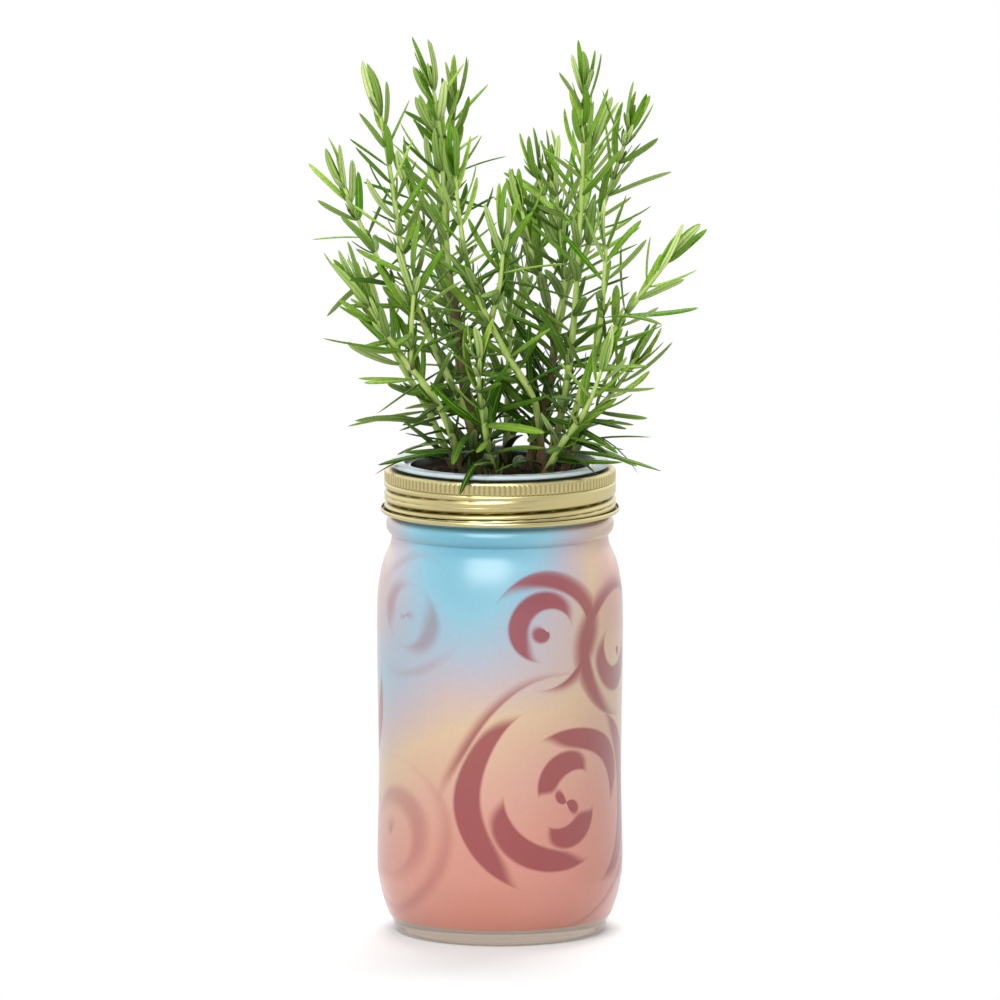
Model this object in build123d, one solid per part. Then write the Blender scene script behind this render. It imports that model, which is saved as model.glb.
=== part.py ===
from build123d import *
import math
import os

# Millimetres. The origin is the centre of the jar's foot, on the surface that it stands on, with Z up.
# The photographed front faces -Y.

# Glass jar
jar_height = 176.5
jar_wall = 3.0
foot_radius = 39.0
foot_inner_radius = 33.5
push_up = 2.2
floor_thickness = 4.0
heel_radius_reach = 46.9
heel_height = 29.0
waist_radius = 46.35
waist_height = 63.0
body_radius = 46.9
body_low_height = 105.0
shoulder_height = 127.0
neck_radius = 41.35
neck_height = 153.2
transfer_bead_radius = 43.45
transfer_bead_height = 158.2
transfer_bead_span = 7.6
finish_radius = 41.2
finish_blend = 1.0
lip_round = 1.2

# Outline points of the heel and the shoulder, as shares of the step from one ring to the next,
# each as (share of the change in radius, share of the change in height)
heel_shares = [(0.34, 0.16), (0.69, 0.41), (0.91, 0.68)]
shoulder_shares = [(0.14, 0.36), (0.45, 0.66), (0.88, 0.87)]
inner_heel_shares = [(0.62, 0.13), (0.92, 0.44)]
floor_flat_share = 0.62

# Screw thread of jar and band
thread_pitch = 5.08
thread_start_height = 164.4
ridge_radius = 43.0
ridge_crest = 1.1
ridge_root = 2.4
ridge_start_angle = 95.0
ridge_turns = 1.25

# Printed film round the jar
film_gap = 0.1
film_thickness = 0.25
print_low = 6.4
print_high = 162.6

# Screw band
sheet = 0.3
band_top = 180.2
band_height = 17.2
knurl_radius = 44.5
knurl_depth = 0.35
knurl_height = 3.9
knurl_count = 140
band_wall_radius = 44.2
flange_inner_radius = 38.6
corner_round = 0.9
crease_radius = 42.5
crease_width = 1.6
crease_start_angle = 100.0
crease_turns = 1.4
crease_bottom_share = 0.4
curl_radius = 1.15
curl_reach = 46.0

# Silicone seat ring
ring_inner_radius = 36.8
ring_ledge_radius = 35.4
ring_ledge_depth = 2.6
ring_outer_radius = 42.1
ring_web_radius = 38.1
ring_gasket_radius = 43.0
ring_top = 182.6
ring_lip_thickness = 1.6
ring_groove = 1.4
ring_round = 0.6
ring_rest_gap = 0.3

# Steel net pot
pot_clearance = 0.4
pot_wall = 0.6
pot_depth = 60.0
pot_bottom_radius = 29.0
pot_slot_count = 16
pot_slot_width = 3.0
pot_slot_height = 30.0
pot_slot_low = 9.0
floor_slot_count = 8
floor_slot_length = 12.0
floor_slot_radius = 20.0

# Grow medium and wick
medium_clearance = 0.4
medium_depth_in_ring = 5.4
medium_crown = 1.4
wick_width = 14.0
wick_thickness = 2.0
wick_round = 0.6
wick_length = 128.0
wick_sink = 18.0
wick_clearance = 0.4

# Plant
plant_reach = 75.0
plant_height = 147.0
stem_foot_radius = 1.7
stem_tip_radius = 0.7
side_shoot_radius = 1.2
stem_sink = 9.0
stem_clearance = 0.15
stem_sides = 6
steps_per_span = 3
leaf_spacing = 6.6
leaf_length = 33.0
leaf_half_width = 1.8
leaf_thickness = 0.9
leaf_gap = 0.5
rim_clearance = 0.9
crowd_cell = 6.0

# Routes of the stems: x and y as shares of plant_reach, height over the medium as a share of
# plant_height. A side shoot starts on its parent stem.
sprig_route_shares = {
    "sprig_left": [
        [(-0.11, -0.05, 0.0), (-0.17, -0.10, 0.15), (-0.34, -0.16, 0.34), (-0.48, -0.19, 0.53),
         (-0.55, -0.19, 0.77), (-0.61, -0.18, 0.95)],
        [(-0.41, -0.175, 0.43), (-0.56, -0.12, 0.51), (-0.70, -0.06, 0.64), (-0.80, -0.02, 0.75)],
    ],
    "sprig_left_tall": [
        [(-0.10, 0.06, 0.0), (-0.20, 0.10, 0.30), (-0.25, 0.12, 0.47), (-0.28, 0.13, 0.64),
         (-0.30, 0.13, 0.85), (-0.34, 0.12, 1.0)],
        [(-0.277, 0.13, 0.62), (-0.265, 0.21, 0.80), (-0.23, 0.26, 0.95)],
    ],
    "sprig_crossing": [
        [(0.22, -0.10, 0.0), (0.18, -0.18, 0.19), (0.03, -0.27, 0.33), (-0.12, -0.30, 0.49),
         (-0.19, -0.30, 0.63), (-0.23, -0.28, 0.80)],
        [(-0.05, -0.287, 0.41), (0.0, -0.34, 0.52), (0.02, -0.37, 0.64)],
    ],
    "sprig_right_tall": [
        [(0.25, -0.02, 0.0), (0.33, -0.08, 0.20), (0.37, -0.11, 0.36), (0.40, -0.12, 0.57),
         (0.42, -0.10, 0.78), (0.43, -0.07, 1.0)],
        [(0.393, -0.118, 0.52), (0.47, -0.02, 0.62), (0.56, 0.05, 0.74), (0.66, 0.09, 0.89)],
    ],
    "sprig_woody": [
        [(0.14, 0.09, 0.0), (0.24, 0.08, 0.20), (0.28, 0.08, 0.34), (0.22, 0.10, 0.47),
         (0.16, 0.12, 0.57), (0.11, 0.13, 0.68)],
        [(0.277, 0.08, 0.36), (0.33, 0.15, 0.48), (0.31, 0.21, 0.62), (0.28, 0.25, 0.75)],
    ],
    "sprig_right_far": [
        [(0.33, -0.15, 0.0), (0.38, -0.20, 0.16), (0.46, -0.23, 0.29), (0.57, -0.24, 0.38),
         (0.72, -0.23, 0.48), (0.86, -0.20, 0.57)],
        [(0.46, -0.23, 0.29), (0.51, -0.31, 0.40), (0.53, -0.35, 0.52), (0.54, -0.36, 0.62)],
    ],
    "sprig_right_low": [
        [(0.34, 0.08, 0.0), (0.42, 0.10, 0.11), (0.55, 0.12, 0.18), (0.67, 0.14, 0.26)],
    ],
    "sprig_left_low": [
        [(-0.18, -0.15, 0.0), (-0.30, -0.24, 0.18), (-0.45, -0.30, 0.29), (-0.60, -0.32, 0.40),
         (-0.71, -0.31, 0.49)],
        [(-0.45, -0.30, 0.29), (-0.45, -0.37, 0.42), (-0.43, -0.41, 0.54)],
    ],
    "sprig_back_left": [
        [(-0.12, 0.22, 0.0), (-0.20, 0.36, 0.22), (-0.28, 0.47, 0.48), (-0.32, 0.54, 0.72),
         (-0.34, 0.57, 0.84)],
        [(-0.28, 0.47, 0.48), (-0.39, 0.45, 0.60), (-0.48, 0.43, 0.73)],
    ],
    "sprig_back_right": [
        [(0.16, 0.24, 0.0), (0.25, 0.38, 0.22), (0.35, 0.50, 0.46), (0.44, 0.59, 0.70),
         (0.48, 0.62, 0.82)],
        [(0.35, 0.50, 0.46), (0.28, 0.45, 0.60), (0.20, 0.43, 0.74)],
    ],
    "sprig_back_low": [
        [(0.03, 0.32, 0.0), (0.04, 0.46, 0.16), (0.05, 0.61, 0.34), (0.04, 0.71, 0.50)],
        [(0.05, 0.61, 0.34), (0.13, 0.62, 0.47), (0.17, 0.60, 0.61)],
    ],
    "sprig_back_left_low": [
        [(-0.24, 0.14, 0.0), (-0.38, 0.27, 0.15), (-0.55, 0.38, 0.29), (-0.66, 0.44, 0.42)],
    ],
    "sprig_front": [
        [(-0.03, -0.24, 0.0), (-0.07, -0.36, 0.12), (-0.10, -0.46, 0.23), (-0.11, -0.52, 0.33)],
    ],
    "sprig_front_right": [
        [(0.22, -0.26, 0.0), (0.33, -0.38, 0.11), (0.44, -0.49, 0.20), (0.52, -0.55, 0.31)],
    ],
}

# Along a stem from foot to tip: the leaf's lean from the stem in degrees, its length and its bend
# upwards, the last two as shares of leaf_length
leaf_lean_low = 94.0
leaf_lean_high = 30.0
leaf_lean_vary_share = 0.22
leaf_turn = 97.0
leaf_turn_vary = 24.0
leaf_roll_vary = 26.0
leaf_length_low_share = 1.0
leaf_length_high_share = 0.58
leaf_length_vary_share = 0.22
leaf_bend_low_share = -0.20
leaf_bend_high_share = 0.16
leaf_bend_vary_share = 0.21
leaf_sway_vary_share = 0.20
leaf_width_vary_share = 0.2
leaf_width_high_share = 0.8
leaf_width_shares = [(0.0, 0.35), (0.3, 0.95), (0.7, 1.0), (1.0, 0.25)]
leaf_sample_shares = [0.0, 0.14, 0.28, 0.42, 0.56, 0.70, 0.84, 0.98]
tip_leaf_count = 4
tip_leaf_lean_share = 0.6
leaf_attempts = 6
leaf_attempt_lean_share = 0.11
first_leaf_share = 0.04
side_shoot_first_leaf_share = 0.18

# Leaves that hang over the rim: share of the way up the main stem, the tip as shares of reach and
# height, the rise of the leaf's middle as a share of its length, and its width as a share
draped_leaf_shares = {
    "sprig_front": [(0.30, (-0.205, -0.66, -0.014), 0.17, 0.8)],
    "sprig_left_low": [(0.16, (-0.64, -0.16, 0.002), 0.16, 0.8)],
    "sprig_right_low": [(0.42, (0.71, 0.08, -0.014), 0.19, 0.55), (0.36, (0.56, -0.11, 0.05), 0.12, 0.9)],
    "sprig_front_right": [(0.32, (0.49, -0.42, 0.023), 0.17, 1.2)],
}

# Places that follow from the sizes above
medium_top = ring_top - medium_depth_in_ring
pot_radius = ring_ledge_radius - pot_clearance
pot_lip_radius = ring_inner_radius - pot_clearance
pot_top = ring_top - ring_ledge_depth + ring_rest_gap + pot_wall
pot_bottom = pot_top - pot_depth
cut_overrun = 1.0


def ring_solid(outline):
    """Turns a closed outline, drawn as radius and height, into a solid of revolution."""
    return revolve(Plane.XZ * make_face(outline), Axis.Z)


def between(start, end, shares):
    """Points from start to end at the given shares of the step in radius and in height."""
    return [
        (start[0] + (end[0] - start[0]) * radial, start[1] + (end[1] - start[1]) * rise)
        for radial, rise in shares
    ]


def jar_side(grow):
    """The jar's outer side from the foot to the top of the transfer bead, grown outwards."""
    foot = (foot_radius + grow, 0)
    heel = (heel_radius_reach + grow, heel_height)
    waist = (waist_radius + grow, waist_height)
    body_low = (body_radius + grow, body_low_height)
    shoulder = (body_radius + grow, shoulder_height)
    neck = (neck_radius + grow, neck_height)
    bead_low = (neck_radius + grow, transfer_bead_height - transfer_bead_span / 2)
    bead_mid = (transfer_bead_radius + grow, transfer_bead_height)
    bead_high = (neck_radius + grow, transfer_bead_height + transfer_bead_span / 2)
    return [
        Spline(foot, *between(foot, heel, heel_shares), heel, tangents=[(1, 0), (0, 1)]),
        Spline(heel, waist, body_low, tangents=[(0, 1), (0, 1)]),
        Line(body_low, shoulder),
        Spline(
            shoulder, *between(shoulder, neck, shoulder_shares), neck, tangents=[(0, 1), (0, 1)]
        ),
        Line(neck, bead_low),
        ThreePointArc(bead_low, bead_mid, bead_high),
    ]


def thread(start_height, start_angle, turns, radius, outline):
    """A helical ridge: the outline is given as radius from the helix and height."""
    helix = Helix(thread_pitch, thread_pitch * turns, radius)
    at_start = Plane(origin=helix @ 0, x_dir=(1, 0, 0), z_dir=helix % 0)
    ridge = sweep(make_face(at_start * Polyline(*outline, close=True)), path=helix, is_frenet=True)
    lift = start_height + thread_pitch * start_angle / 360
    return Pos(0, 0, lift) * Rot(0, 0, start_angle) * ridge


def glass_jar():
    side = jar_side(0)
    bead_high = (neck_radius, transfer_bead_height + transfer_bead_span / 2)
    finish_low = (finish_radius, bead_high[1] + finish_blend)
    lip_outer = (finish_radius, jar_height - lip_round)
    bore = neck_radius - jar_wall
    lip_inner = (bore, jar_height - lip_round)
    wide = body_radius - jar_wall
    inner_neck = (bore, neck_height)
    inner_shoulder = (wide, shoulder_height)
    inner_heel = (wide, heel_height)
    floor_edge = (wide * floor_flat_share, floor_thickness + push_up / 2)
    floor_mid = (0, floor_thickness + push_up)
    outline = side + [
        Line(bead_high, finish_low),
        Line(finish_low, lip_outer),
        RadiusArc(lip_outer, (finish_radius - lip_round, jar_height), -lip_round),
        Line((finish_radius - lip_round, jar_height), (bore + lip_round, jar_height)),
        RadiusArc((bore + lip_round, jar_height), lip_inner, -lip_round),
        Line(lip_inner, inner_neck),
        Spline(
            inner_neck,
            *reversed(between(inner_shoulder, inner_neck, shoulder_shares)),
            inner_shoulder,
            tangents=[(0, -1), (0, -1)],
        ),
        Line(inner_shoulder, inner_heel),
        Spline(
            inner_heel,
            *reversed(between(floor_edge, inner_heel, inner_heel_shares)),
            floor_edge,
            tangents=[(0, -1), (-1, 0)],
        ),
        Line(floor_edge, floor_mid),
        Line(floor_mid, (0, push_up)),
        Spline((0, push_up), (foot_inner_radius, 0), tangents=[(1, 0), (1, -push_up / foot_radius)]),
        Line((foot_inner_radius, 0), (foot_radius, 0)),
    ]
    root = (finish_radius - jar_wall / 2) - ridge_radius
    ridge = thread(
        thread_start_height + thread_pitch / 2,
        ridge_start_angle,
        ridge_turns,
        ridge_radius,
        [
            (root, -ridge_root / 2), (0, -ridge_crest / 2), (0, ridge_crest / 2), (root, ridge_root / 2),
        ],
    )
    return ring_solid(outline) + ridge


def printed_sleeve():
    def filled(grow):
        side = jar_side(grow)
        high = transfer_bead_height + transfer_bead_span / 2
        closing = Polyline(
            (neck_radius + grow, high), (neck_radius + grow, jar_height), (0, jar_height), (0, 0),
            (foot_radius + grow, 0),
        )
        return ring_solid(side + [closing])

    film = filled(film_gap + film_thickness) - filled(film_gap)
    height = print_high - print_low
    keep = Cylinder(body_radius * 2, height, align=(Align.CENTER, Align.CENTER, Align.MIN))
    return film & (Pos(0, 0, print_low) * keep)


def band_shell():
    """The band's flange, wall and rolled lower edge as one bent sheet."""
    low = band_top - band_height
    root_radius = knurl_radius - knurl_depth
    wall_inner = band_wall_radius - sheet
    knurl_low = band_top - corner_round - knurl_height
    middle = curl_reach - curl_radius
    centre = low + curl_radius
    inside = curl_radius - sheet

    def curl(radius, degrees):
        angle = math.radians(degrees)
        return (middle + radius * math.cos(angle), centre + radius * math.sin(angle))

    outer_start = (band_wall_radius, centre)
    inner_start = (wall_inner, centre)
    return ring_solid([
        Line((flange_inner_radius, band_top), (root_radius - corner_round, band_top)),
        RadiusArc(
            (root_radius - corner_round, band_top), (root_radius, band_top - corner_round), corner_round
        ),
        Line((root_radius, band_top - corner_round), (root_radius, knurl_low)),
        Line((root_radius, knurl_low), (band_wall_radius, knurl_low - sheet)),
        Line((band_wall_radius, knurl_low - sheet), outer_start),
        ThreePointArc(outer_start, curl(inside, -90), curl(inside, 0)),
        ThreePointArc(curl(inside, 0), curl(inside, 20), curl(inside, 40)),
        Line(curl(inside, 40), curl(curl_radius, 40)),
        ThreePointArc(curl(curl_radius, 40), curl(curl_radius, 0), curl(curl_radius, -90)),
        ThreePointArc(curl(curl_radius, -90), curl(curl_radius, -140), inner_start),
        Line(inner_start, (wall_inner, band_top - sheet - corner_round)),
        Line(
            (wall_inner, band_top - sheet - corner_round), (wall_inner - corner_round, band_top - sheet)
        ),
        Line((wall_inner - corner_round, band_top - sheet), (flange_inner_radius, band_top - sheet)),
        Line((flange_inner_radius, band_top - sheet), (flange_inner_radius, band_top)),
    ])


def knurl_ring():
    """The ring of fine upright flutes under the band's top corner."""
    root_radius = knurl_radius - knurl_depth
    corners = []
    for step in range(2 * knurl_count):
        radius = root_radius if step % 2 else knurl_radius
        angle = math.pi * step / knurl_count
        corners.append((radius * math.cos(angle), radius * math.sin(angle)))
    star = make_face(Polyline(*corners, close=True)) - Circle(root_radius - sheet / 2)
    return Pos(0, 0, band_top - corner_round - knurl_height) * extrude(star, knurl_height)


def screw_band():
    """The band's thread is a crease rolled into its wall: a groove outside, a ridge inside."""
    wall_inner = band_wall_radius - sheet
    groove_depth = band_wall_radius + cut_overrun - crease_radius
    ridge_depth = wall_inner + sheet / 2 - crease_radius
    bottom_half = crease_width * crease_bottom_share / 2
    top_half = crease_width / 2
    groove = thread(
        thread_start_height,
        crease_start_angle,
        crease_turns,
        crease_radius,
        [(0, -bottom_half), (groove_depth, -top_half), (groove_depth, top_half), (0, bottom_half)],
    )
    ridge = thread(
        thread_start_height,
        crease_start_angle,
        crease_turns,
        crease_radius,
        [
            (-sheet, -bottom_half - sheet / 2),
            (ridge_depth, -top_half - sheet),
            (ridge_depth, top_half + sheet),
            (-sheet, bottom_half + sheet / 2),
        ],
    )
    return band_shell() + knurl_ring() + ridge - groove


def seat_ring():
    """A soft collar that grips the band's flange, seals on the glass and carries the net pot."""
    lip_low = ring_top - ring_lip_thickness
    gasket_top = lip_low - ring_groove
    gasket_low = jar_height + ring_rest_gap
    ledge = ring_top - ring_ledge_depth
    return ring_solid([
        Polyline(
            (ring_ledge_radius, gasket_low),
            (ring_gasket_radius, gasket_low),
            (ring_gasket_radius, gasket_top),
            (ring_web_radius, gasket_top),
            (ring_web_radius, lip_low),
            (ring_outer_radius - ring_round, lip_low),
        ),
        ThreePointArc(
            (ring_outer_radius - ring_round, lip_low),
            (ring_outer_radius, (lip_low + ring_top) / 2),
            (ring_outer_radius - ring_round, ring_top),
        ),
        Polyline(
            (ring_outer_radius - ring_round, ring_top),
            (ring_inner_radius, ring_top),
            (ring_inner_radius, ledge),
            (ring_ledge_radius, ledge),
            (ring_ledge_radius, gasket_low),
        ),
    ])


def pot_side(inset, low):
    """The pot's tapered side as two points, moved inwards, from the given height to the top."""
    slope = (pot_radius - pot_bottom_radius) / pot_depth
    return (pot_bottom_radius - inset + slope * (low - pot_bottom), low), (pot_radius - inset, pot_top)


def net_pot():
    outer_low = pot_side(0, pot_bottom)[0]
    inner_low, inner_high = pot_side(pot_wall, pot_bottom + pot_wall)
    pot = ring_solid([
        Polyline(
            (0, pot_bottom),
            outer_low,
            (pot_radius, pot_top - pot_wall),
            (pot_lip_radius, pot_top - pot_wall),
            (pot_lip_radius, pot_top),
            inner_high,
            inner_low,
            (0, pot_bottom + pot_wall),
            (0, pot_bottom),
        )
    ])
    reach = pot_radius + cut_overrun
    side_slot = Box(reach, pot_slot_width, pot_slot_height, align=(Align.MIN, Align.CENTER, Align.MIN))
    floor_slot = Box(floor_slot_length, pot_slot_width, pot_wall + 2 * cut_overrun)
    wick_slot = Box(
        wick_width + 2 * wick_clearance, wick_thickness + 2 * wick_clearance, pot_wall + 2 * cut_overrun
    )
    floor_middle = pot_bottom + pot_wall / 2
    for index in range(pot_slot_count):
        pot -= Rot(0, 0, 360 * index / pot_slot_count) * Pos(0, 0, pot_bottom + pot_slot_low) * side_slot
    for index in range(floor_slot_count):
        turn = 360 * (index + 1 / 2) / floor_slot_count
        pot -= Rot(0, 0, turn) * Pos(floor_slot_radius, 0, floor_middle) * floor_slot
    return pot - Pos(0, 0, floor_middle) * wick_slot


def medium_foot():
    return pot_bottom + pot_wall + ring_rest_gap


def grow_medium():
    inset = pot_wall + medium_clearance
    low, high = pot_side(inset, medium_foot())
    slope = (high[0] - low[0]) / (high[1] - low[1])
    edge = (low[0] + slope * (medium_top - low[1]), medium_top)
    crown = medium_top + medium_crown
    plug = ring_solid([
        Line((0, low[1]), low),
        Line(low, edge),
        Spline(edge, (0, crown), tangents=[(-1, 2 * medium_crown / edge[0]), (-1, 0)]),
        Line((0, crown), (0, low[1])),
    ])
    wick_hole = Box(
        wick_width + 2 * wick_clearance,
        wick_thickness + 2 * wick_clearance,
        wick_sink + 2 * wick_clearance,
        align=(Align.CENTER, Align.CENTER, Align.MIN),
    )
    plug -= Pos(0, 0, low[1] - wick_clearance) * wick_hole
    hole_depth = stem_sink + medium_crown + cut_overrun
    hole = Cylinder(
        stem_foot_radius + stem_clearance, hole_depth, align=(Align.CENTER, Align.CENTER, Align.MIN)
    )
    for routes in sprig_route_shares.values():
        foot = place(routes[0][0])
        plug -= Pos(foot.X, foot.Y, medium_top - stem_sink - stem_clearance) * hole
    return plug


def wick():
    top = medium_foot() + wick_sink - wick_clearance
    strip = Box(wick_width, wick_thickness, wick_length, align=(Align.CENTER, Align.CENTER, Align.MAX))
    edges = strip.edges().filter_by(Axis.Z)
    return Pos(0, 0, top) * fillet(edges, wick_round)


def place(share):
    """A point of a stem's route."""
    base = medium_top + medium_crown
    return Vector(share[0] * plant_reach, share[1] * plant_reach, base + share[2] * plant_height)


def smooth(points, steps):
    """Points of a smooth curve through the given ones, with steps pieces to each span."""
    before = points[0] * 2 - points[1]
    after = points[-1] * 2 - points[-2]
    padded = [before] + points + [after]
    result = []
    for a, b, c, d in zip(padded, padded[1:], padded[2:], padded[3:]):
        for step in range(steps):
            t = step / steps
            result.append(
                (b * 2 + (c - a) * t + (a * 2 - b * 5 + c * 4 - d) * t**2
                 + (b * 3 - a - c * 3 + d) * t**3) * (1 / 2)
            )
    return result + [points[-1]]


def vary(seed):
    """A repeatable number from -1 to 1."""
    wave = math.sin(seed * 12.9898) * 43758.5453
    return 2 * (wave - math.floor(wave)) - 1


def mix(low, high, share):
    return low + (high - low) * share


def headings(points):
    """The direction of the curve at each point."""
    steps = [(b - a).normalized() for a, b in zip(points, points[1:])]
    return [steps[0]] + [(a + b).normalized() for a, b in zip(steps, steps[1:])] + [steps[-1]]


def loft_rings(rings):
    return Solid.make_loft([Wire.make_polygon(ring, close=True) for ring in rings], ruled=True)


def stem_solid(points, radii):
    """A stem with flat sides through the points."""
    rings = []
    for point, heading, radius in zip(points, headings(points), radii):
        side = heading.cross(Vector(0, 1, 0)).normalized()
        front = side.cross(heading)
        ring = []
        for corner in range(stem_sides):
            angle = 2 * math.pi * corner / stem_sides
            ring.append(point + side * (radius * math.cos(angle)) + front * (radius * math.sin(angle)))
        rings.append(ring)
    return loft_rings(rings)


class Leaf:
    """A narrow leaf: its root, its reach to the tip, the rise of its middle, its side and half width."""

    def __init__(self, root, reach, rise, side, half):
        self.root = root
        self.reach = reach
        self.rise = rise
        self.side = side
        self.half = half

    def point(self, share):
        return self.root + self.reach * share + self.rise * (4 * share * (1 - share))

    def upward(self, share):
        along = self.reach + self.rise * (4 - 8 * share)
        return self.side.cross(along).normalized()

    def traces(self):
        """Where the leaf is: points, with the half width as a vector at each."""
        across = tuple(self.side * self.half)
        return [(tuple(self.point(share)), across) for share in leaf_sample_shares]

    def solid(self):
        rings = []
        for share, width_share in leaf_width_shares:
            middle = self.point(share)
            half = self.side * (self.half * width_share)
            keel = self.upward(share) * (leaf_thickness * width_share)
            rings.append([middle - half, middle + half, middle - keel])
        return loft_rings(rings)


def stem_samples(points, spacing):
    """Points at even distances along the curve, each with its heading and share of the length."""
    lengths = [0.0]
    for a, b in zip(points, points[1:]):
        lengths.append(lengths[-1] + (b - a).length)
    samples = []
    count = int(lengths[-1] / spacing)
    for index in range(1, count + 1):
        want = lengths[-1] * index / count
        span = max(i for i in range(len(points) - 1) if lengths[i] <= want)
        share = (want - lengths[span]) / (lengths[span + 1] - lengths[span])
        heading = (points[span + 1] - points[span]).normalized()
        samples.append((mix(points[span], points[span + 1], share), heading, index / count))
    return samples


class Crowd:
    """Remembers where each sprig is, so that no leaf runs into another sprig."""

    def __init__(self):
        self.cells = {}

    def cell(self, point):
        return tuple(int(math.floor(value / crowd_cell)) for value in point)

    def add(self, owner, point, across, girth):
        self.cells.setdefault(self.cell(point), []).append((owner, point, across, girth))

    def clear(self, owner, point, across, girth):
        """False where another sprig comes close, counting how far both reach towards each other."""
        x, y, z = self.cell(point)
        for dx in (-1, 0, 1):
            for dy in (-1, 0, 1):
                for dz in (-1, 0, 1):
                    for other, taken, side, thick in self.cells.get((x + dx, y + dy, z + dz), []):
                        if other == owner:
                            continue
                        apart = [a - b for a, b in zip(taken, point)]
                        gap = math.sqrt(sum(value * value for value in apart))
                        reach = abs(sum(a * b for a, b in zip(apart, across)))
                        reach += abs(sum(a * b for a, b in zip(apart, side)))
                        if gap * (gap - girth - thick - leaf_gap) < reach:
                            return False
        return True


def above_rim(point, across):
    """True where a leaf clears the medium, the ring and, outside, the band."""
    x, y, z = point
    radius = math.hypot(x, y)
    low = band_top - band_height + 2 * curl_radius
    for edge, top in (
        (knurl_radius, band_top),
        (ring_outer_radius, ring_top),
        (ring_inner_radius - 4 * leaf_half_width, medium_top + medium_crown),
    ):
        if radius < edge + rim_clearance:
            low = top
    return z - abs(across[2]) > low + rim_clearance


def fits(owner, crowd, leaf):
    """Keeps the leaf's place where it is free."""
    traces = leaf.traces()
    for point, across in traces:
        if not above_rim(point, across) or not crowd.clear(owner, point, across, leaf_thickness / 2):
            return False
    for point, across in traces:
        crowd.add(owner, point, across, leaf_thickness / 2)
    return True


def shoot_leaves(owner, crowd, points, first_share):
    """Places the leaves of one shoot in opposite pairs, and a tuft at its tip."""
    leaves = []
    for number, (middle, heading, share) in enumerate(stem_samples(points, leaf_spacing)):
        at_tip = share == 1
        if share < first_share:
            continue
        across = heading.cross(Vector(0, 1, 0)).normalized()
        forward = across.cross(heading)
        for pair in range(tip_leaf_count if at_tip else 2):
            seed = 7 * number + 3 * pair + 31 * len(owner) + 5 * len(points)
            for attempt in range(leaf_attempts):
                turn = leaf_turn * number + (360 / tip_leaf_count if at_tip else 180) * pair
                turn = math.radians(turn + leaf_turn_vary * vary(seed + 100 * attempt))
                lean = mix(leaf_lean_low, leaf_lean_high, share)
                lean *= 1 + leaf_lean_vary_share * vary(seed + 1)
                lean *= tip_leaf_lean_share if at_tip else 1
                lean = math.radians(lean * (1 - leaf_attempt_lean_share * attempt))
                length = leaf_length * mix(leaf_length_low_share, leaf_length_high_share, share)
                length *= 1 + leaf_length_vary_share * vary(seed + 2)
                bend = mix(leaf_bend_low_share, leaf_bend_high_share, share)
                bend += leaf_bend_vary_share * vary(seed + 4)
                sway = leaf_sway_vary_share * vary(seed + 6)
                roll = math.radians(leaf_roll_vary * vary(seed + 5))
                outward = across * math.cos(turn) + forward * math.sin(turn)
                along = outward * math.sin(lean) + heading * math.cos(lean)
                upward = heading * math.sin(lean) - outward * math.cos(lean)
                side = along.cross(upward)
                curl = upward * (length * bend) + side * (length * sway)
                half = leaf_half_width * mix(1, leaf_width_high_share, share)
                leaf = Leaf(
                    middle - heading * (leaf_half_width if at_tip else 0),
                    along * length + curl,
                    curl * (-1 / 4),
                    side * math.cos(roll) + upward * math.sin(roll),
                    half * (1 + leaf_width_vary_share * vary(seed + 3)),
                )
                if fits(owner, crowd, leaf):
                    leaves.append(leaf)
                    break
    return leaves


def draped_leaves(owner, crowd, points):
    """Long leaves that hang over the rim."""
    leaves = []
    samples = stem_samples(points, leaf_half_width)
    up = Vector(0, 0, 1)
    for share, tip, rise_share, width_share in draped_leaf_shares.get(owner, []):
        root = min(samples, key=lambda sample: abs(sample[2] - share))[0]
        reach = place(tip) - root
        leaf = Leaf(
            root,
            reach,
            up * (reach.length * rise_share),
            reach.cross(up).normalized(),
            leaf_half_width * width_share,
        )
        if fits(owner, crowd, leaf):
            leaves.append(leaf)
    return leaves


def plant():
    """Every sprig by name, as one solid each: its stem, its side shoot and their leaves."""
    crowd = Crowd()
    shoots = {}
    nowhere = (0, 0, 0)
    for name, routes in sprig_route_shares.items():
        shoots[name] = []
        for order, route in enumerate(routes):
            points = smooth([place(share) for share in route], steps_per_span)
            if order == 0:
                foot = points[0]
                points.insert(0, Vector(foot.X, foot.Y, medium_top - stem_sink))
            thick = stem_foot_radius if order == 0 else side_shoot_radius
            radii = [mix(thick, stem_tip_radius, i / (len(points) - 1)) for i in range(len(points))]
            if order == 0:
                radii[1] = radii[0]
            shoots[name].append((points, radii))
            for middle, _, share in stem_samples(points, leaf_half_width):
                crowd.add(name, tuple(middle), nowhere, mix(thick, stem_tip_radius, share))
    hanging = {name: draped_leaves(name, crowd, parts[0][0]) for name, parts in shoots.items()}
    sprigs = {}
    for name, parts in shoots.items():
        pieces = []
        for order, (points, radii) in enumerate(parts):
            pieces.append(stem_solid(points, radii))
            first_share = first_leaf_share if order == 0 else side_shoot_first_leaf_share
            pieces += [leaf.solid() for leaf in shoot_leaves(name, crowd, points, first_share)]
        pieces += [leaf.solid() for leaf in hanging[name]]
        sprigs[name] = pieces[0].fuse(*pieces[1:])
    return sprigs


def build():
    solids = {
        "glass_jar": glass_jar(),
        "printed_sleeve": printed_sleeve(),
        "screw_band": screw_band(),
        "seat_ring": seat_ring(),
        "net_pot": net_pot(),
        "grow_medium": grow_medium(),
        "wick": wick(),
    }
    solids.update(plant())
    return solids


os.makedirs("parts", exist_ok=True)
for node, solid in build().items():
    export_step(solid, os.path.join("parts", node + ".step"))
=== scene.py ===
import math
from dataclasses import dataclass

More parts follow.
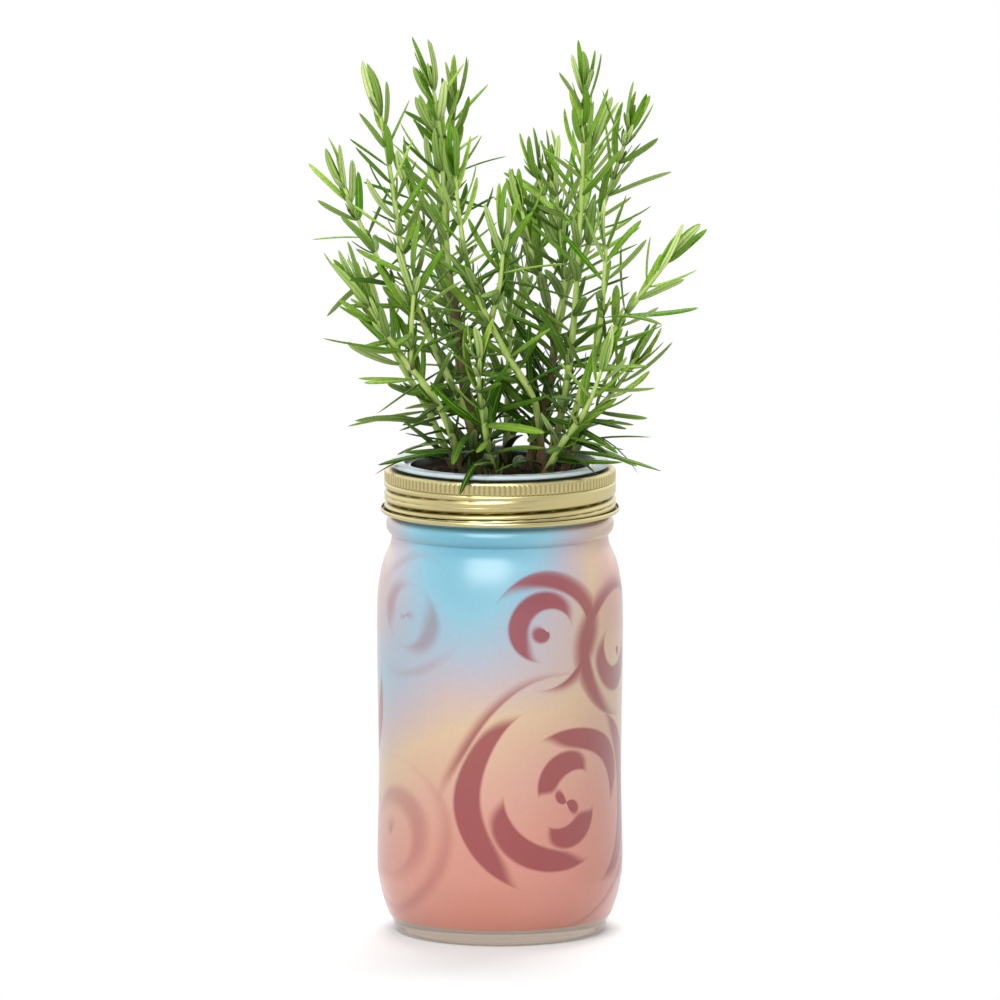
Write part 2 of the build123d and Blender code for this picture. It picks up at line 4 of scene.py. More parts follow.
import bmesh
import bpy
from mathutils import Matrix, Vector

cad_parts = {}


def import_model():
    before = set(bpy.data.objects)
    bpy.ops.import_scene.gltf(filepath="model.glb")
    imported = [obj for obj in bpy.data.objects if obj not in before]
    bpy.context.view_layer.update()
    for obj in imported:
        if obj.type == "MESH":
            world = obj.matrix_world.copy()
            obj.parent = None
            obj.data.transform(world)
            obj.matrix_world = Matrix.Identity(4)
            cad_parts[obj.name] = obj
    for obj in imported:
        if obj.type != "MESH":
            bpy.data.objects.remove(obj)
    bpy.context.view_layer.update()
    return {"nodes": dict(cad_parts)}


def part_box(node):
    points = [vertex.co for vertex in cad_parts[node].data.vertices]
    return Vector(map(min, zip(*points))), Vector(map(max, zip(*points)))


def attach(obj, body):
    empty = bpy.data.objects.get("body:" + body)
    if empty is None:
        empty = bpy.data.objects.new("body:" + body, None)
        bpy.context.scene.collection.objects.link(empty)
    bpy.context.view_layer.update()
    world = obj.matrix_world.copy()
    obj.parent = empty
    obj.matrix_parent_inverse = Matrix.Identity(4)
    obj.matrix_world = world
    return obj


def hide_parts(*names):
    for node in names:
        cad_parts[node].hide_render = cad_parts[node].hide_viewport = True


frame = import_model()

# Shapes are worked out in millimetres, in the frame of the solids, and turned to metres as meshes.
# The origin is the centre of the jar's foot, +Z is up and the photographed front faces -Y.
MM = 0.001

# Camera: far away with a long lens
VIEW_PITCH = math.radians(8.6)
VIEW_DISTANCE = 6.0
VIEW_AIM_HEIGHT = 0.1672
PIXELS_PER_METRE = 2600.0
SENSOR_WIDTH = 36.0
FRAME_PIXELS = 1000.0

# Light: a lamp's place, aim, size and power, and what reflections see in front, behind and above
KEY_LAMP = ((-0.8, -3.3, 2.7), (0, 0, 0.16), (3.0, 3.0), 150.0)
TOP_LAMP = ((0.3, 1.5, 3.3), (0, 0, 0.2), (2.6, 1.8), 120.0)
STUDIO_FRONT = 0.42
STUDIO_BACK = 1.5
STUDIO_TOP = 1.05
WORLD_LIGHT = 0.28
# FILM_GLOW is the strength of the painted glow on the film's inner face, standing in for light let through
# the film
FILM_GLOW = 0.5
WHITE = (1.0, 1.0, 1.0, 1.0)

# Floor: its colours, the light that it gives off, the metres over which it fades, and in
# millimetres its reach and how far it lies under the foot
FLOOR_BASE = (0.5, 0.5, 0.5, 1.0)
FLOOR_SHADE = (0.8, 0.8, 0.8, 1.0)
FLOOR_GLOW = 0.15
FLOOR_FADE_START = 0.09
FLOOR_FADE_END = 0.15
FLOOR_REACH = 20000.0
FLOOR_DROP = 0.2

# Jar
JAR_HEIGHT = 176.5
JAR_WALL = 3.0
FOOT_RADIUS = 39.0
FOOT_INNER_RADIUS = 33.5
PUSH_UP = 2.2
FLOOR_THICKNESS = 4.0
HEEL_RADIUS = 46.9
HEEL_HEIGHT = 29.0
WAIST_RADIUS = 46.35
WAIST_HEIGHT = 63.0
BODY_RADIUS = 46.9
BODY_LOW_HEIGHT = 105.0
SHOULDER_HEIGHT = 127.0
NECK_RADIUS = 41.35
NECK_HEIGHT = 153.2
BEAD_RADIUS = 43.45
BEAD_HEIGHT = 158.2
BEAD_SPAN = 7.6
FINISH_RADIUS = 41.2
FINISH_LOW = 163.0
LIP_ROUND = 1.2
THREAD_PITCH = 5.08
THREAD_START = 164.4
RIDGE_RADIUS = 43.0
RIDGE_START_TURN = 95 / 360
RIDGE_TURNS = 1.25
RIDGE_HALF = 1.0

# Printed film
FILM_GAP = 0.1
FILM_THICKNESS = 0.25
PRINT_LOW = 6.4
PRINT_HIGH = 162.6

# Screw band
SHEET = 0.3
BAND_TOP = 180.2
BAND_LOW = 163.0
KNURL_RADIUS = 44.5
KNURL_DEPTH = 0.35
KNURL_LOW = 175.4
KNURL_HIGH = 179.3
KNURL_COUNT = 140
BAND_WALL_RADIUS = 44.2
FLANGE_RADIUS = 38.6
CREASE_DEPTH = 1.5
CREASE_HALF = 0.8
CREASE_START_TURN = 100 / 360
CREASE_TURNS = 1.4
CREASE_SHARP = 0.28
SECOND_CREASE_DROP = 2.5
SECOND_CREASE_DEPTH = 0.45
WALL_SWELL = 0.35
CURL_RADIUS = 1.15
CURL_REACH = 46.0

# Seat ring
RING_INNER = 36.8
RING_LEDGE = 35.4
RING_OUTER = 42.1
RING_WEB = 38.1
RING_GASKET = 43.0
RING_TOP = 182.6
RING_LIP_LOW = 181.0
RING_GASKET_TOP = 179.6
RING_GASKET_LOW = 176.8
LEDGE_HEIGHT = 180.0

# Grow medium and wick
MEDIUM_TOP = 177.2
MEDIUM_CROWN = 1.4
MEDIUM_FOOT_RADIUS = 27.9
CHIP_COUNT = 420
CHIP_REACH = 33.0
WICK_WIDTH = 14.0
WICK_THICKNESS = 2.0

# Plant
PLANT_REACH = 75.0
PLANT_HEIGHT = 147.0
STEM_FOOT_RADIUS = 1.7
STEM_TIP_RADIUS = 0.7
SIDE_SHOOT_RADIUS = 1.2
STEM_SINK = 9.0
LEAF_SPACING = 6.6
LEAF_LENGTH = 33.0
LEAF_HALF_WIDTH = 1.8
LEAF_THICKNESS = 0.9
LEAF_GAP = 0.5
CROWD_CELL = 6.0
RIM_CLEARANCE = 0.9
TUFT_LEAVES = 4
TUFT_LENGTH = 8.5
TUFT_LENGTH_VARY = 3.5
TUFT_LEAN = 34.0
TUFT_LEAN_VARY = 16.0
TUFT_HALF_WIDTH = 0.9
TUFT_RARITY = -0.3
STEM_SIDES = 10

# How far round a point other pieces cast painted shade on it, in metres
LEAF_SHADE_REACH = 0.014
BAND_SHADE_REACH = 0.0025


def srgb(red, green, blue):
    """A colour written as 0 to 255, in the linear values that shaders take."""
    def linear(value):
        value /= 255
        return value / 12.92 if value <= 0.04045 else ((value + 0.055) / 1.055) ** 2.4
    return (linear(red), linear(green), linear(blue), 1.0)


# Shader helpers

class Nodes:
    """A node tree and short calls that add nodes to it."""

    def __init__(self, tree):
        self.tree = tree

    def node(self, kind, **inputs):
        """A node with its inputs, by name or as n and a number, set to values or linked to sockets."""
        made = self.tree.nodes.new("ShaderNode" + kind)
        for key, value in inputs.items():
            self.feed(made.inputs[int(key[1:]) if key[1:].isdigit() else key.replace("_", " ")], value)
        return made

    def feed(self, socket, value):
        if isinstance(value, bpy.types.NodeSocket):
            self.tree.links.new(value, socket)
        else:
            socket.default_value = value

    def math(self, operation, a, b=0.0, c=0.0):
        made = self.node("Math", n0=a, n1=b, n2=c)
        made.operation = operation
        return made.outputs[0]

    def times(self, a, b):
        return self.math("MULTIPLY", a, b)

    def minus(self, a, b):
        return self.math("SUBTRACT", a, b)

    def spread(self, value, low, high, to_low=0.0, to_high=1.0, smooth=True):
        """Maps low..high to to_low..to_high, clamped."""
        made = self.node("MapRange", Value=value, From_Min=low, From_Max=high, To_Min=to_low,
                         To_Max=to_high)
        made.interpolation_type = "SMOOTHSTEP" if smooth else "LINEAR"
        return made.outputs[0]

    def blend(self, factor, a, b):
        return self.node("MixShader", n0=factor, n1=a, n2=b).outputs[0]

    def shine(self, kind, colour, strength):
        return self.node(kind, Color=colour, Strength=strength).outputs[0]


class Shader(Nodes):
    """A material and short calls that add nodes to it."""

    def __init__(self, name):
        self.material = bpy.data.materials.new(name)
        self.material.use_nodes = True
        super().__init__(self.material.node_tree)
        self.base = self.tree.nodes["Principled BSDF"]
        self.coordinates = self.node("TexCoord").outputs["Object"]

    def place(self):
        return self.node("SeparateXYZ", Vector=self.coordinates).outputs

    def mix(self, factor, a, b):
        made = self.tree.nodes.new("ShaderNodeMix")
        made.data_type = "RGBA"
        for index, value in ((0, factor), (6, a), (7, b)):
            self.feed(made.inputs[index], value)
        return made.outputs[2]

    def noise(self, scale, detail=4.0, rough=0.55, vector=None):
        made = self.node("TexNoise", Vector=vector or self.coordinates, Scale=scale, Detail=detail,
                         Roughness=rough)
        return made.outputs[0]

    def ramp(self, factor, stops):
        """A colour ramp: stops are (place, colour)."""
        made = self.node("ValToRGB", Fac=factor)
        elements = made.color_ramp.elements
        while len(elements) < len(stops):
            elements.new(0.5)
        for element, (place, colour) in zip(elements, stops):
            element.position = place
            element.color = colour
        return made.outputs[0]

    def bump(self, height, strength, distance):
        made = self.node("Bump", Height=height, Strength=strength, Distance=distance)
        self.set(Normal=made.outputs[0])

    def painted_hollow_shade(self, distance, low, high, most):
        """Painted shade: from most where other surfaces close round a point to 0 in the open, by what lies
        within the distance.
        """
        made = self.node("AmbientOcclusion", Distance=distance)
        made.samples = 4
        return self.spread(made.outputs["AO"], low, high, most, 0.0)

    def set(self, **inputs):
        for key, value in inputs.items():
            self.feed(self.base.inputs[key.replace("_", " ")], value)

    def stretched(self, upward):
        return self.node("Mapping", Vector=self.coordinates, Scale=(1.0, 1.0, upward)).outputs[0]

    def attribute(self, name):
        made = self.node("Attribute")
        made.attribute_name = name
        return self.node("SeparateColor", Color=made.outputs["Color"]).outputs

    def surface(self, shader):
        """Puts another shader in the place of the base one."""
        self.feed(self.tree.nodes["Material Output"].inputs["Surface"], shader)


# Mesh helpers

def show(name, data):
    """An object of the scene from a mesh, a lamp or a camera."""
    made = bpy.data.objects.new(name, data)
    bpy.context.scene.collection.objects.link(made)
    return made


def mesh_object(name, points, faces, material, sharp=40.0):
    """A mesh from millimetre points, with even normals and smooth shading up to an angle."""
    mesh = bpy.data.meshes.new(name)
    mesh.from_pydata([Vector(point) * MM for point in points], [], faces)
    work = bmesh.new()
    work.from_mesh(mesh)
    bmesh.ops.remove_doubles(work, verts=work.verts, dist=1e-6)
    bmesh.ops.dissolve_degenerate(work, edges=work.edges, dist=1e-7)
    bmesh.ops.recalc_face_normals(work, faces=work.faces)
    work.to_mesh(mesh)
    work.free()
    mesh.shade_smooth()
    mesh.set_sharp_from_angle(angle=math.radians(sharp))
    mesh.materials.append(material)
    return show(name, mesh)


def spline(a, b, c, d, share):
    """A place on the smooth curve from b to c, with a before and d after them."""
    return (b * 2 + (c - a) * share + (a * 2 - b * 5 + c * 4 - d) * share**2
            + (b * 3 - a - c * 3 + d) * share**3) * 0.5


def smooth2(points, steps):
    """Points of a smooth outline through the given (radius, height) pairs."""
    padded = [points[0]] + list(points) + [points[-1]]
    result = []
    for around in zip(padded, padded[1:], padded[2:], padded[3:]):
        for step in range(steps):
            result.append(tuple(spline(*values, step / steps) for values in zip(*around)))
    return result + [points[-1]]


def arc2(centre, radius, start, end, steps):
    """Points of an arc in the plane of radius and height, angles in degrees."""
    angles = [math.radians(mix(start, end, step / steps)) for step in range(steps + 1)]
    return [(centre[0] + radius * math.cos(angle), centre[1] + radius * math.sin(angle)) for angle in angles]


def tube(rows, width, start=0, closed=False):
    """Faces that join rows of points into a tube, and its last row to the first if it is closed."""
    faces = []
    for row in range(rows if closed else rows - 1):
        low, high = start + row * width, start + (row + 1) % rows * width
        for index in range(width):
            beside = (index + 1) % width
            faces.append((low + index, low + beside, high + beside, high + index))
    return faces


def lathe(name, outline, segments, material, push=None, sharp=40.0):
    """Turns a closed outline about Z. push(radius, height, turn) may move a point in or out."""
    points = []
    for radius, height in outline:
        for index in range(segments):
            turn = index / segments
            out = radius + (push(radius, height, turn) if push else 0.0)
            angle = 2 * math.pi * turn
            points.append((out * math.cos(angle), out * math.sin(angle), height))
    return mesh_object(name, points, tube(len(outline), segments, closed=True), material, sharp)


# Materials

def glass_material():
    """Clear glass with painted light: a tan tint near the foot, and a pale painted glow instead of black
    where light has been caught inside it for long.
    """
    shader = Shader("clear_glass")
    # Painted tint: the glass is tan near the foot, standing in for the print's colour seen through the thick
    # base
    low = shader.spread(shader.place()[2], 0.004, 0.010)
    shader.set(Base_Color=shader.mix(low, srgb(180, 164, 150), srgb(250, 253, 251)))
    shader.set(Roughness=0.02, IOR=1.5, Transmission_Weight=1.0)
    shader.bump(shader.noise(28.0, 2.0, 0.4), 0.12, 0.0006)
    # Painted glow: rays that have passed through the glass many times show a pale emission instead of black
    painted_light_depth = shader.math("GREATER_THAN", shader.node("LightPath").outputs["Ray Depth"], 2.5)
    painted_glass_glow = shader.shine("Emission", srgb(176, 166, 156), 1.0)
    shader.surface(shader.blend(painted_light_depth, shader.base.outputs[0], painted_glass_glow))
    return shader.material


RINGS = [
    # turn from the front in degrees; then in metres height, outer radius, spacing and half
    # thickness; swells round a ring, their phase, softness in metres and strength
    (33, 0.0560, 0.0520, 0.0130, 0.0060, 2, 2.2, 0.0011, 0.90),
    (22, 0.1230, 0.0280, 0.0112, 0.0050, 1, 3.6, 0.0012, 0.90),
    (70, 0.1120, 0.0300, 0.0125, 0.0052, 1, 1.4, 0.0013, 0.90),
    (-50, 0.1270, 0.0270, 0.0130, 0.0036, 2, 0.6, 0.0026, 0.42),
    (-62, 0.0420, 0.0330, 0.0150, 0.0044, 1, 5.2, 0.0032, 0.40),
    (118, 0.0960, 0.0380, 0.0150, 0.0050, 2, 1.0, 0.0012, 0.90),
    (122, 0.0320, 0.0260, 0.0130, 0.0042, 1, 2.9, 0.0030, 0.40),
    (184, 0.0580, 0.0480, 0.0150, 0.0052, 2, 4.1, 0.0011, 0.90),
    (196, 0.1300, 0.0240, 0.0125, 0.0038, 1, 0.4, 0.0028, 0.42),
    (248, 0.0960, 0.0400, 0.0150, 0.0050, 2, 5.6, 0.0012, 0.90),
]


def ring_mask(shader, angle, height, wobble, ring):
    """Rings about one point, like ripples on water, whose strokes swell and run out to points."""
    turn, middle, reach, spacing, half, swells, phase, soft, _ = ring
    across = shader.minus(angle, math.radians(turn))
    across = shader.times(shader.math("WRAP", across, math.pi, -math.pi), BODY_RADIUS * MM)
    rise = shader.minus(height, middle)
    apart = shader.math("SQRT", shader.math("MULTIPLY_ADD", across, across, shader.times(rise, rise)))
    apart = shader.math("ADD", apart, wobble)
    around = shader.math("ARCTAN2", rise, across)
    swirl = shader.math("MULTIPLY_ADD", apart, 1.9 / spacing, phase)
    swell = shader.math("SINE", shader.math("MULTIPLY_ADD", around, float(swells), swirl))
    edge = shader.math("MULTIPLY_ADD", swell, half * 0.72, half * 0.28)
    off = shader.minus(shader.math("PINGPONG", apart, spacing / 2), edge)
    inside = shader.spread(off, -soft, soft, 1.0, 0.0)
    return shader.times(inside, shader.spread(apart, reach - 0.006, reach, 1.0, 0.0))


def print_colour(shader):
    """Blue at the top, through lilac and sand, to coral at the foot, with soft ripples of brick red."""
    x, y, height = shader.place()
    angle = shader.math("ARCTAN2", x, shader.times(y, -1.0))
    cloud = shader.noise(15.0, 2.0, 0.4)
    lean = shader.times(shader.math("SINE", angle), -0.017)
    drift = shader.times(shader.minus(cloud, 0.5), 0.05)
    level = shader.math("ADD", shader.math("ADD", height, lean), drift)
    lobes = shader.math("COSINE", shader.math("MULTIPLY_ADD", angle, 2.0, 0.15))
    warm = shader.times(shader.minus(1.0, lobes), 0.040)
    warm = shader.times(warm, shader.spread(height, 0.095, 0.145))
    level = shader.minus(level, warm)
    place = shader.spread(level, 0.0, 0.165, smooth=False)
    colour = shader.ramp(place, [
        (0.06, srgb(213, 132, 112)), (0.24, srgb(217, 148, 130)), (0.38, srgb(219, 168, 146)),
        (0.49, srgb(222, 190, 154)), (0.58, srgb(206, 184, 180)), (0.68, srgb(182, 186, 200)),
        (0.80, srgb(138, 196, 216)), (0.97, srgb(92, 172, 196)),
    ])
    wobble = shader.times(shader.minus(shader.noise(22.0, 0.0, 0.3), 0.5), 0.010)
    layers = {}
    for ring in RINGS:
        mask, strength = ring_mask(shader, angle, height, wobble, ring), ring[-1]
        before = layers.get(strength)
        layers[strength] = mask if before is None else shader.math("MAXIMUM", before, mask)
    for strength in sorted(layers):
        colour = shader.mix(shader.times(layers[strength], strength), colour, srgb(146, 34, 44))
    grain = shader.noise(900.0, 2.0, 0.5)
    return shader.mix(shader.spread(grain, 0.3, 0.7, 0.0, 0.05), colour, srgb(120, 90, 90))


def print_material():
    shader = Shader("printed_film")
    shader.set(Base_Color=print_colour(shader), Roughness=0.42, IOR=1.5)
    shader.set(Coat_Weight=0.8, Coat_Roughness=0.26, Coat_IOR=1.6)
    shader.bump(shader.noise(40.0, 2.0, 0.5), 0.05, 0.0005)
    return shader.material


def print_inside_glow_material():
    """The film's inner face in its print colours with a painted glow, which stands in for light let through
    the film.
    """
    shader = Shader("printed_film_inside_glow")
    colour = print_colour(shader)
    shader.set(Base_Color=colour, Roughness=0.6, Emission_Color=colour, Emission_Strength=FILM_GLOW)
    return shader.material


def gold_material():
    shader = Shader("gold_tinplate")
    streak = shader.noise(60.0, 3.0, 0.6, shader.stretched(14.0))
    colour = shader.mix(streak, srgb(192, 178, 124), srgb(212, 200, 150))
    wear = shader.spread(shader.noise(260.0, 4.0, 0.7), 0.62, 0.78)
    colour = shader.mix(shader.times(wear, 0.25), colour, srgb(168, 152, 98))
    x, y, height = shader.place()
    angle = shader.math("ARCTAN2", y, x)
    # Painted shade: the knurl is painted darker in the grooves between its flutes
    flute = shader.math("COSINE", shader.times(angle, float(KNURL_COUNT)))
    knurl = shader.times(shader.spread(height, KNURL_LOW * MM, (KNURL_LOW + 0.3) * MM),
                         shader.spread(height, (KNURL_HIGH - 0.3) * MM, KNURL_HIGH * MM, 1.0, 0.0))
    groove = shader.times(knurl, shader.spread(flute, -0.2, 0.9, 0.0, 0.42))
    colour = shader.mix(groove, colour, srgb(124, 108, 52))
    # Painted shade in the band's creases, where other parts of it lie close
    painted_hollow_shade = shader.painted_hollow_shade(BAND_SHADE_REACH, 0.45, 0.95, 0.85)
    colour = shader.mix(painted_hollow_shade, colour, srgb(92, 80, 24))
    rough = shader.spread(streak, 0.2, 0.8, 0.27, 0.36)
    shader.set(Base_Color=colour, Metallic=1.0, Roughness=rough)
    shader.bump(shader.noise(500.0, 3.0, 0.6), 0.08, 0.0002)
    return shader.material


def silicone_material():
    shader = Shader("pale_silicone")
    cloud = shader.noise(90.0, 3.0, 0.5)
    colour = shader.mix(cloud, srgb(196, 215, 224), srgb(212, 226, 232))
    shader.set(Base_Color=colour, Roughness=0.3, Subsurface_Weight=0.3, Subsurface_Scale=0.002)
    shader.set(Coat_Weight=0.25, Coat_Roughness=0.15)
    shader.bump(shader.noise(700.0, 2.0, 0.5), 0.05, 0.0002)
    return shader.material


def steel_material():
    shader = Shader("polished_steel")
    streak = shader.noise(120.0, 3.0, 0.6, shader.stretched(20.0))
    colour = shader.mix(streak, srgb(176, 180, 178), srgb(206, 208, 206))
    rough = shader.spread(streak, 0.2, 0.8, 0.10, 0.22)
    shader.set(Base_Color=colour, Metallic=1.0, Roughness=rough)
    shader.bump(streak, 0.04, 0.0002)
    return shader.material


def coir_material():
    shader = Shader("coir")
    coarse = shader.noise(260.0, 6.0, 0.7)
    fine = shader.noise(1400.0, 4.0, 0.7)
    colour = shader.ramp(coarse, [
        (0.25, srgb(22, 14, 11)), (0.45, srgb(48, 30, 20)), (0.60, srgb(86, 50, 30)),
        (0.74, srgb(124, 84, 52)),
    ])
    shader.set(Base_Color=colour, Roughness=0.9)
    shader.bump(shader.math("ADD", coarse, fine), 0.7, 0.0012)
    return shader.material


def felt_material():
    shader = Shader("felt")
    fuzz = shader.noise(1600.0, 5.0, 0.75)
    damp = shader.spread(shader.place()[2], 0.02, 0.12)
    dry = shader.mix(fuzz, srgb(196, 190, 172), srgb(222, 218, 204))
    wet = shader.mix(fuzz, srgb(150, 142, 120), srgb(176, 168, 146))
    shader.set(Base_Color=shader.mix(damp, wet, dry), Roughness=0.95, Sheen_Weight=0.4)
    shader.bump(fuzz, 0.6, 0.0008)
    return shader.material


def leaf_material():
    """Green above with a paler midrib, grey-green below, younger leaves lighter, with painted shade inside
    the plant and where other leaves lie close.
    """
    shader = Shader("leaf")
    tone, under, age = shader.attribute("leaf_kind")
    across, along, painted_light_depth = shader.attribute("leaf_blade_and_shade")
    mottle = shader.noise(520.0, 4.0, 0.6)
    young = shader.mix(tone, srgb(86, 154, 8), srgb(192, 230, 92))
    old = shader.mix(tone, srgb(4, 32, 0), srgb(80, 136, 2))
    top = shader.mix(age, young, old)
    top = shader.mix(shader.spread(mottle, 0.35, 0.75, 0.0, 0.35), top, srgb(12, 44, 2))
    top = shader.mix(shader.spread(across, 0.0, 0.22, 0.7, 0.0), top, srgb(170, 208, 100))
    top = shader.mix(shader.spread(along, 0.0, 0.22, 0.5, 0.0), top, srgb(170, 194, 96))
    pale = shader.mix(tone, srgb(110, 158, 36), srgb(220, 240, 158))
    below = shader.mix(shader.spread(across, 0.0, 0.25, 0.6, 0.0), pale, srgb(104, 148, 56))
    below = shader.mix(shader.spread(across, 0.72, 0.98), below, srgb(74, 122, 34))
    colour = shader.mix(under, top, below)
    # Painted shade: leaves darken towards the middle and bottom of the plant
    colour = shader.mix(shader.spread(painted_light_depth, 0.05, 0.75, 0.0, 0.5), colour, srgb(8, 62, 0))
    # Painted shade where other leaves and stems lie close
    colour = shader.mix(shader.painted_hollow_shade(LEAF_SHADE_REACH, 0.15, 0.8, 0.8), colour, srgb(8, 50, 0))
    shader.set(Base_Color=colour, Roughness=shader.math("MULTIPLY_ADD", under, 0.22, 0.34))
    shader.set(Specular_IOR_Level=0.14, Specular_Tint=(0.85, 0.95, 0.35, 1.0))
    shader.bump(shader.noise(900.0, 3.0, 0.6), 0.25, 0.0004)
    return shader.material


def stem_material():
    """Pale downy green where young, and brown bark low down on old stems, with painted shade on the green
    where leaves lie close.
    """
    shader = Shader("stem")
    age = shader.attribute("stem_kind")[0]
    fibre = shader.noise(300.0, 5.0, 0.65, shader.stretched(0.25))
    green = shader.mix(fibre, srgb(148, 190, 58), srgb(222, 238, 146))
    bark = shader.mix(fibre, srgb(62, 40, 24), srgb(150, 118, 80))
    turn = shader.spread(shader.math("MULTIPLY_ADD", fibre, 0.3, age), 0.55, 0.95)
    # Painted shade on the green where leaves and stems lie close
    green = shader.mix(shader.painted_hollow_shade(LEAF_SHADE_REACH, 0.15, 0.8, 0.6), green, srgb(30, 70, 8))
    shader.set(Base_Color=shader.mix(turn, green, bark), Roughness=0.6, Sheen_Weight=0.12)
    shader.bump(fibre, 0.5, 0.0006)
    return shader.material


# Jar, film, band and ring

def between(start, end, shares):
    return [(mix(start[0], end[0], radial), mix(start[1], end[1], rise)) for radial, rise in shares]


HEEL_SHARES = [(0.20, 0.05), (0.34, 0.16), (0.69, 0.41), (0.91, 0.68)]
SHOULDER_SHARES = [(0.14, 0.36), (0.45, 0.66), (0.88, 0.87)]
INNER_HEEL_SHARES = [(0.62, 0.13), (0.92, 0.44)]


def jar_side(grow):
    foot, heel = (FOOT_RADIUS, 0.0), (HEEL_RADIUS, HEEL_HEIGHT)
    shoulder, neck = (BODY_RADIUS, SHOULDER_HEIGHT), (NECK_RADIUS, NECK_HEIGHT)
    side = smooth2([
        foot, *between(foot, heel, HEEL_SHARES), heel, (WAIST_RADIUS, WAIST_HEIGHT),
        (BODY_RADIUS, BODY_LOW_HEIGHT), shoulder, *between(shoulder, neck, SHOULDER_SHARES), neck,
    ], 6)
    rise = BEAD_RADIUS - NECK_RADIUS
    curve = ((BEAD_SPAN / 2) ** 2 + rise**2) / (2 * rise)
    half = math.degrees(math.asin(BEAD_SPAN / 2 / curve))
    side += arc2((BEAD_RADIUS - curve, BEAD_HEIGHT), curve, -half, half, 12)
    return [(radius + grow, height) for radius, height in side]


def laps(turn, height, start, turns):
    """Where a thread passes a turn: the share of its length there, and the height over it."""
    for place in (turn, turn + 1, turn + 2):
        yield (place - start) / turns, height - (THREAD_START + THREAD_PITCH * place)


def ridge_push(radius, height, turn):
    """The raised thread on the jar's finish."""
    if radius < FINISH_RADIUS - 0.01 or height < FINISH_LOW:
        return 0.0
    best = 0.0
    for along, over in laps(turn, height - THREAD_PITCH / 2, RIDGE_START_TURN, RIDGE_TURNS):
        fade = max(0.0, min(1.0, 12 * along, 12 * (1 - along)))
        best = max(best, fade * math.exp(-((over / RIDGE_HALF) ** 4)))
    return best * (RIDGE_RADIUS - FINISH_RADIUS)


def glass_jar(material):
    bore = NECK_RADIUS - JAR_WALL
    wide = BODY_RADIUS - JAR_WALL
    shoulder, neck = (wide, SHOULDER_HEIGHT), (bore, NECK_HEIGHT)
    floor_edge, heel = (wide * 0.62, FLOOR_THICKNESS + PUSH_UP / 2), (wide, HEEL_HEIGHT)
    finish_high = JAR_HEIGHT - LIP_ROUND
    steps = 40
    outline = (
        jar_side(0)
        + [(FINISH_RADIUS, mix(FINISH_LOW, finish_high, step / steps)) for step in range(steps)]
        + arc2((FINISH_RADIUS - LIP_ROUND, finish_high), LIP_ROUND, 0, 90, 5)
        + arc2((bore + LIP_ROUND, finish_high), LIP_ROUND, 90, 180, 5)
        + smooth2([neck, *reversed(between(shoulder, neck, SHOULDER_SHARES)), shoulder], 5)
        + smooth2([(wide, HEEL_HEIGHT + 1), heel, *reversed(between(floor_edge, heel, INNER_HEEL_SHARES)),
                   floor_edge, (wide * 0.3, FLOOR_THICKNESS + PUSH_UP * 0.9),
                   (0.0, FLOOR_THICKNESS + PUSH_UP)], 5)
        + smooth2([(0.0, PUSH_UP), (FOOT_INNER_RADIUS * 0.5, PUSH_UP * 0.92),
                   (FOOT_INNER_RADIUS * 0.88, PUSH_UP * 0.4), (FOOT_INNER_RADIUS, 0.0)], 5)
    )
    return lathe("jar_glass", outline, 192, material, push=ridge_push)


def printed_film(material, inside):
    def part(grow):
        side = [point for point in jar_side(grow) if PRINT_LOW < point[1] < PRINT_HIGH]
        first, last = side[0], side[-1]
        return [(first[0] - 0.25, PRINT_LOW)] + side + [(last[0] - 0.1, PRINT_HIGH)]
    outline = part(FILM_GAP + FILM_THICKNESS) + part(FILM_GAP)[::-1]
    made = lathe("jar_print", outline, 192, material)
    # Faces that look inward get the painted glow of the film's inner face
    made.data.materials.append(inside)
    for face in made.data.polygons:
        if face.center.x * face.normal.x + face.center.y * face.normal.y < 0:
            face.material_index = 1
    return made


def crease_push(height, turn):
    """How far the rolled thread draws the band's wall in, and how it swells beside that."""
    depth = 0.0
    for along, over in laps(turn, height, CREASE_START_TURN, CREASE_TURNS):
        fade = min(1.0, max(0.0, 0.5 + 5 * along)) * min(1.0, max(0.0, 0.5 + 5 * (1 - along)))
        broad = math.exp(-((over / CREASE_HALF) ** 2)) * 0.55
        sharp = math.exp(-abs(over) / CREASE_SHARP) * 0.45
        second = math.exp(-abs(over + SECOND_CREASE_DROP) / CREASE_SHARP)
        depth = max(depth, fade * CREASE_DEPTH * (broad + sharp), fade * SECOND_CREASE_DEPTH * second)
    return WALL_SWELL - depth


def band_push(radius, height, turn):
    """Flutes round the knurl, and creases in the wall under it."""
    if radius < BAND_WALL_RADIUS - SHEET - 0.05 or radius > KNURL_RADIUS + 0.05:
        return 0.0
    push = 0.0
    if BAND_LOW + 1.3 < height < KNURL_LOW - 0.2:
        edge = min(1.0, (height - BAND_LOW - 1.3) / 0.5, (KNURL_LOW - 0.2 - height) / 0.9)
        push += crease_push(height, turn) * edge * edge * (3 - 2 * edge)
    if radius > KNURL_RADIUS - 0.05:
        wave = 0.5 - 0.5 * math.cos(2 * math.pi * turn * KNURL_COUNT)
        push -= KNURL_DEPTH * (1 - wave) ** 1.6
    return push


